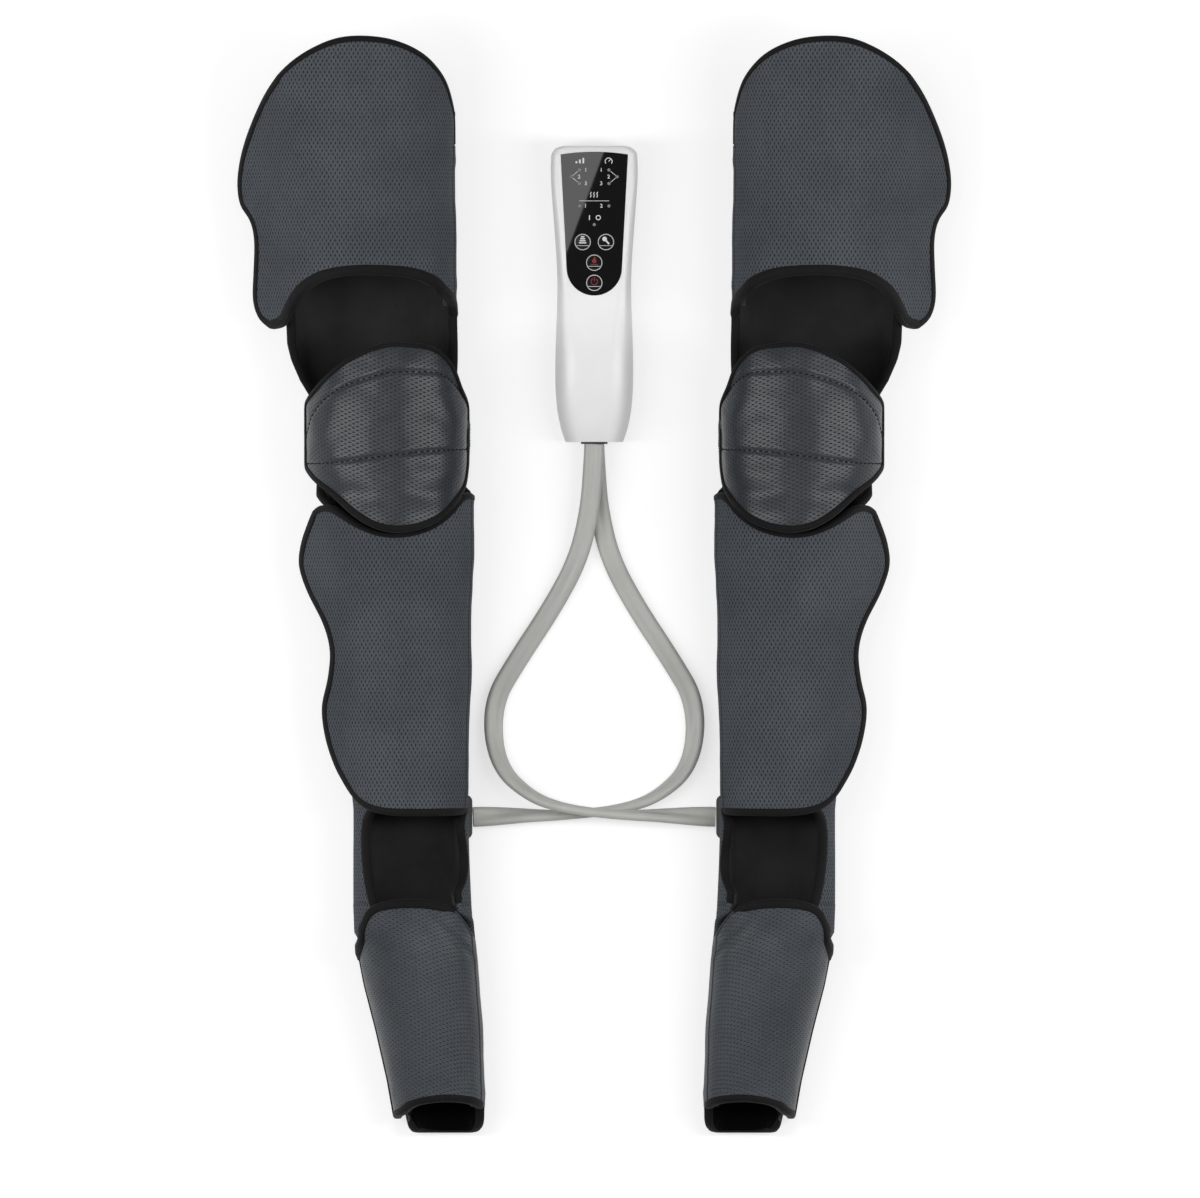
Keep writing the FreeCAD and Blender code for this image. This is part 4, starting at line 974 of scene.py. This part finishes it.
def makePad():
    grow = pad["seat"] + pad["thick"]
    start = 90 + math.degrees(math.asin(pad["drop"] / (sections["padLow"][3] + grow)))
    surface = clothSurface(("padLow", "padHigh"), *pad["reach"], grow=(grow, grow), start=start, flare=start,
                           soft=pad["soft"])
    wide = float(surface["lengths"][0])

    def edge(n, name):
        plan = onPattern(surface, pad[name])
        return smoothLine(np.concatenate([[(0, pad["fold"][n])], plan, [(wide, pad["far"][n])]]))

    low, top = edge(0, "low"), edge(1, "top")
    near, far = [evenLine(np.array([(s, y) for y in pad[n]], float)) for s, n in ((0, "fold"), (wide, "far"))]
    border = np.concatenate([low, far, top[::-1], near[::-1]])
    seams = [smoothLine(onPattern(surface, pad[n]), 1.0) for n in ("arch", "cross")]
    seams = [np.column_stack([seam[:, 0].clip(0, wide), seam[:, 1]]) for seam in seams]

    def thickness(sy):
        s, y = sy.T
        inside = distanceTo(sy, border)
        t = pad["edge"] + (pad["crown"] - pad["edge"]) * swell(inside, pad["fullness"])
        sides = np.minimum(s, wide - s)
        full = np.interp(s / wide, pad["sideSpan"], pad["side"]) * np.interp(y, *np.array(pad["bulge"]).T)
        ease, held = pad["sideEase"]
        t = np.maximum(t, full * bell(sides, 0, pad["sideWide"]) * np.clip(inside / ease + held, 0, 1))
        least, reach = pad["firm"]
        firm = least + (1 - least) * np.clip(sides / reach, 0, 1)  # channels run out at the sides
        for seam in seams:
            t = t - pad["channel"] * bell(distanceTo(sy, seam), 0, pad["channelWide"]) * firm
        size, seed, tall = pad["crease"]
        return t + slowNoise(s, y, size, seed) * tall

    def under(sy):  # inner face; both ends ride up, the lobe over the calf flap
        face = -pad["thick"]
        for first, full, lift in (pad["lobeLift"], pad["topLift"]):
            part = share(sy[:, 1], first, full)
            face = face + part * part * (3 - 2 * part) * lift
        return face

    def outer(u, v):
        sy = patchPoints((low, top, near, far), u, v)
        flat = np.stack([sy[:, 1] - pad["skew"] * sy[:, 0], sy[:, 0]], 1)  # cloth turned across, a little askew
        return surfacePoints(surface, *sy.T, thickness(sy) + under(sy)), flat

    def inner(u, v):
        sy = patchPoints((low, top, near, far), u, v)
        return surfacePoints(surface, *sy.T, under(sy)), sy

    body = "{}_knee_cushion"
    bm = slabMesh(int(wide / pad["grid"][0]), pad["grid"][1], outer, inner)
    cushions = pairOf(bm, "KneePad", ["padMesh", "blackLining"], body, ["knee_pad", "knee_heater"])

    skirt = np.concatenate([near[len(near) // 2 + 2::-1], low, far[:len(far) // 2 + 2]])
    crest = np.concatenate([near[len(near) // 2:], top, far[:len(far) // 2 - 1:-1]])
    high = pad["edge"] + pad["tapeOver"]
    tapes = (("PadTape", skirt, pad["tape"], 1), ("PadPiping", crest, pad["piping"], -1))
    for name, path, width, side in tapes:
        path = np.column_stack([path, np.full(len(path), width)])
        tape = tapeMesh(surface, path, high, lambda sy: under(sy) + high / 2 - pad["tapeSunk"], side)
        pairOf(tape, name, ["blackTape"], body, [])

    threads = bmesh.new()
    around, along = pad["threadGrid"]
    stretch = Matrix.Diagonal((1, 1, pad["threadLong"], 1))
    for seam in seams:  # a row of short stitches in each channel
        marks = evenLine(seam, pad["stitch"])[1:-1]
        lift = thickness(marks) + under(marks) + pad["thread"] * 0.5
        spots = surfacePoints(surface, *marks.T, lift)
        for spot, line in zip(spots, np.gradient(spots, axis=0)):
            turn = Vector(line).normalized().to_track_quat("Z", "Y").to_matrix().to_4x4()
            turn.translation = Vector(spot) * mm
            bmesh.ops.create_uvsphere(threads, u_segments=around, v_segments=along, radius=pad["thread"] * mm,
                                      matrix=turn @ stretch)
    for face in threads.faces:
        face.smooth = True
    pairOf(threads, "PadStitches", ["thread"], body, [])


makePad()
print("knee pads stuffed")

# the handset and the boots keep their solid shapes, each with its own finish
solidFinishes = {
    "whiteShell": ("front_shell", "rear_shell"), "blackPanel": ("display_panel",),
    "keyCap": ("mode_key", "pressure_key", "heat_key", "power_key"),
    "bootRubber": ("hose_grommet", "left_hose_inlet", "right_hose_inlet"), "socketBlack": ("power_socket",),
    "board": ("circuit_board",), "switchBlack": ("tact_switches",), "ledLens": ("indicator_leds",),
    "screwSteel": ("shell_screws",), "motorSteel": ("pump_motor",),
    "pumpPlastic": ("pump_head", "air_manifold"),
    "valveBody": ("solenoid_valves",), "clearTube": ("air_tubes",),
}
for finish, names in solidFinishes.items():
    for name in names:
        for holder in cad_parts[name].material_slots:
            holder.material = mats[finish]

# marks printed on the panel and the keys
marks = {
    "panelTop": 38.0, "capTop": 38.3, "proud": 0.04, "thick": 0.08, "line": 0.34, "dot": 1.15,
    "dots": [(-11, 311), (11, 311), (-17.25, 305.9), (17.25, 305.9), (-11, 300.8), (11, 300.8), (-11, 284),
             (11, 284), (0, 270)],
    "lines": [((-12.3, 310), (-17.2, 305.9)), ((-17.2, 305.9), (-12.3, 301.8)), ((12.3, 310), (16.1, 306.8)),
              ((16.1, 305), (12.3, 301.8)), ((-11.3, 287.8), (11, 287.8))],
    "numerals": {"1": [(-6.4, 311), (5.2, 311), (-6.6, 284)], "2": [(-11.4, 305.9), (10.8, 305.9), (5.3, 284)],
                 "3": [(-6.4, 300.8), (5.2, 300.8)]},
    "numeral": 4.0, "bold": 0.09, "ring": 5.95, "ringWide": 0.42, "chord": -2.7, "chordWide": 0.3,
    "keys": {"mode": (-8.75, 256.9), "pressure": (8.75, 256.9), "heat": (0, 241.4), "power": (0, 226.3)},
    "redKeys": ("heat", "power"),
}
flame = {"radius": 1.7, "segments": 32, "narrow": 0.75, "lean": 0.5, "tall": 1.1, "rise": 1.4}


def flatBar(bm, start, end, wide):
    a, b = Vector((*start, 0)), Vector((*end, 0))
    turn = Matrix.Rotation(math.atan2(b.y - a.y, b.x - a.x), 4, "Z")
    size = Matrix.Diagonal(((b - a).length, wide, 1, 1))
    bmesh.ops.create_grid(bm, x_segments=1, y_segments=1, size=0.5,
                          matrix=Matrix.Translation((a + b) / 2) @ turn @ size)


def flatDisc(bm, middle, radius, segments=28):
    made = bmesh.ops.create_circle(bm, cap_ends=True, segments=segments, radius=radius,
                                   matrix=Matrix.Translation((*middle, 0)))
    return made["verts"]


def flatRing(bm, middle, radius, wide, gap=0):
    face = flatDisc(bm, middle, radius, segments=48)[0].link_faces[0]
    rim = bmesh.ops.inset_region(bm, faces=[face], thickness=wide, use_boundary=True, use_even_offset=True)
    spare = [face]
    for part in rim["faces"]:  # a gap above zero opens the ring at its top, below zero at its foot
        spot = part.calc_center_median()
        turn = math.degrees(abs(math.atan2(spot.x - middle[0], spot.y - middle[1])))
        if turn < gap or gap < 0 and turn > -gap:
            spare.append(part)
    bmesh.ops.delete(bm, geom=spare, context="FACES")


def flatFlame(bm):
    for vert in flatDisc(bm, (0, 0), flame["radius"], flame["segments"]):
        up = max(vert.co.y, 0) / flame["radius"]
        vert.co.x = vert.co.x * (1 - flame["narrow"] * up) + flame["lean"] * up * up
        vert.co.y = vert.co.y * (1 + flame["tall"] * up) + flame["rise"]


# plain signs: shape, then its ends or middle, radius, width, gap
signs = {
    "mode": [(flatBar, (-wide / 2, y), (wide / 2, y), 0.85)
             for wide, y in ((2.6, 3.9), (3.6, 2.4), (4.6, 0.9), (5.6, -0.6))],
    "pressure": [(flatDisc, (-1.0, 2.3), 1.75), (flatBar, (-0.1, 1.3), (2.3, -1.5), 1.25)],
    "heat": [(flatFlame,), (flatBar, (-2.6, -1.3), (2.6, -1.3), 0.6)],
    "power": [(flatRing, (0, 0.9), 2.7, 0.6, 28), (flatBar, (0, 1.3), (0, 4.2), 0.62)],
    "steps": [(flatBar, (x, 316), (x, y), 1.3) for x, y in ((-13.4, 317.6), (-10.8, 318.8), (-8.2, 320))],
    "gauge": [(flatRing, (10.8, 317.4), 2.9, 0.6, -130), (flatBar, (10.8, 317.4), (12.4, 319.2), 0.55)],
    "warmAir": [(flatBar, (x - lean, y), (x + lean, y + 1.45), 0.6) for x in (-2.6, -0.2, 2.2)
                for lean, y in ((0.35, 290.4), (-0.35, 291.7), (0.35, 293))],
    "onOff": [(flatBar, (-3.6, 273.4), (-3.6, 277), 0.7), (flatRing, (3.0, 275.2), 1.9, 0.6)],
}


def drawSign(bm, name):
    for shape, *sizes in signs[name]:
        shape(bm, *sizes)


def numeral(bm, figure, middle):
    data = bpy.data.curves.new("numeral", "FONT")
    data.body = figure
    data.size = marks["numeral"]
    data.offset = marks["bold"]
    data.align_x, data.align_y = "CENTER", "CENTER"
    spare = bpy.data.objects.new("numeral", data)
    mesh = bpy.data.meshes.new_from_object(spare)
    mesh.transform(Matrix.Translation((*middle, 0)))
    bm.from_mesh(mesh)
    bpy.data.meshes.remove(mesh)
    bpy.data.objects.remove(spare)


def finishMark(bm, name, prints, body, middle, top):
    bmesh.ops.translate(bm, vec=(*middle, top + marks["proud"]), verts=bm.verts)
    bmesh.ops.scale(bm, vec=(mm, mm, mm), verts=bm.verts)
    obj = newPiece(bm, name, prints)
    bm.free()
    thicken(obj, marks["thick"])
    place(obj, body)


def makeMarks():
    bm = bmesh.new()
    for name in ("steps", "gauge", "warmAir", "onOff"):  # over the rows of lamps
        drawSign(bm, name)
    for start, end in marks["lines"]:
        flatBar(bm, start, end, marks["line"])
    for figure, spots in marks["numerals"].items():
        for spot in spots:
            numeral(bm, figure, spot)
    finishMark(bm, "panelLines", ["printWhite"], rootBody, (0, 0), marks["panelTop"])
    bm = bmesh.new()
    for spot in marks["dots"]:
        flatDisc(bm, spot, marks["dot"])
    finishMark(bm, "panelDots", ["printDot"], rootBody, (0, 0), marks["panelTop"])
    chord = marks["chord"]
    half = math.sqrt((marks["ring"] - marks["ringWide"] / 2) ** 2 - chord ** 2)
    for key, middle in marks["keys"].items():
        bm = bmesh.new()
        drawSign(bm, key)
        for face in bm.faces:
            face.material_index = int(key in marks["redKeys"])
        flatRing(bm, (0, 0), marks["ring"], marks["ringWide"])
        flatBar(bm, (-half, chord), (half, chord), marks["chordWide"])
        finishMark(bm, key + "Mark", ["printWhite", "printRed"], key + "_key_body", middle, marks["capTop"])


makeMarks()
print("handset finished")

floorPlane = {"size": 6.0, "drop": 0.6, "colour": 0.55, "rough": 0.9, "glow": 0.62}
# size across, size along, power, place, turn about the upright
lights = {"left": (0.35, 2.2, 18, (-1.35, 0.05, 1.35), None),
          "right": (0.35, 2.2, 18, (1.35, 0.05, 1.35), None),
          "card": (0.3, 0.6, 2.6, (-0.148, 0.358, 2.4), -20.2)}
ambient = 0.3


def makeFloor():
    bm = bmesh.new()
    bmesh.ops.create_grid(bm, x_segments=1, y_segments=1, size=floorPlane["size"] / 2)
    bmesh.ops.translate(bm, vec=(0, 0, -floorPlane["drop"] * mm), verts=bm.verts)
    obj = newPiece(bm, "floor", [])
    bm.free()
    mat, tree, shader = newMaterial()
    mat.name = "floorPaper"
    rays = addNode(tree, "LightPath").outputs
    seen = addMath(tree, "MAXIMUM", rays["Is Camera Ray"], rays["Is Glossy Ray"])
    seen = addMath(tree, "MAXIMUM", seen, rays["Is Transmission Ray"])
    giveAll(tree, shader, {
        "Base Color": grey(floorPlane["colour"]), "Roughness": floorPlane["rough"], "Emission Color": grey(1.0),
        "Emission Strength": addMath(tree, "MULTIPLY", seen, floorPlane["glow"])})
    obj.data.materials.append(mat)


def makeLights():
    world = bpy.data.worlds.new("studio")
    scene.world = world
    world.use_nodes = True
    sky = world.node_tree.nodes["Background"].inputs
    sky[0].default_value, sky[1].default_value = grey(1.0), ambient
    for name, (across, along, power, at, turn) in lights.items():
        data = bpy.data.lights.new(name, "AREA")
        data.shape = "RECTANGLE"
        data.size, data.size_y = across, along
        data.energy = power
        lamp = bpy.data.objects.new(name, data)
        scene.collection.objects.link(lamp)
        lamp.visible_camera = False
        lamp.location = at
        if turn is None:  # aimed at the middle of the scene
            lamp.rotation_euler = (-Vector(at)).to_track_quat("-Z", "Y").to_euler()
        else:
            lamp.rotation_euler = (0, 0, math.radians(turn))


makeFloor()
makeLights()
print("studio lit")
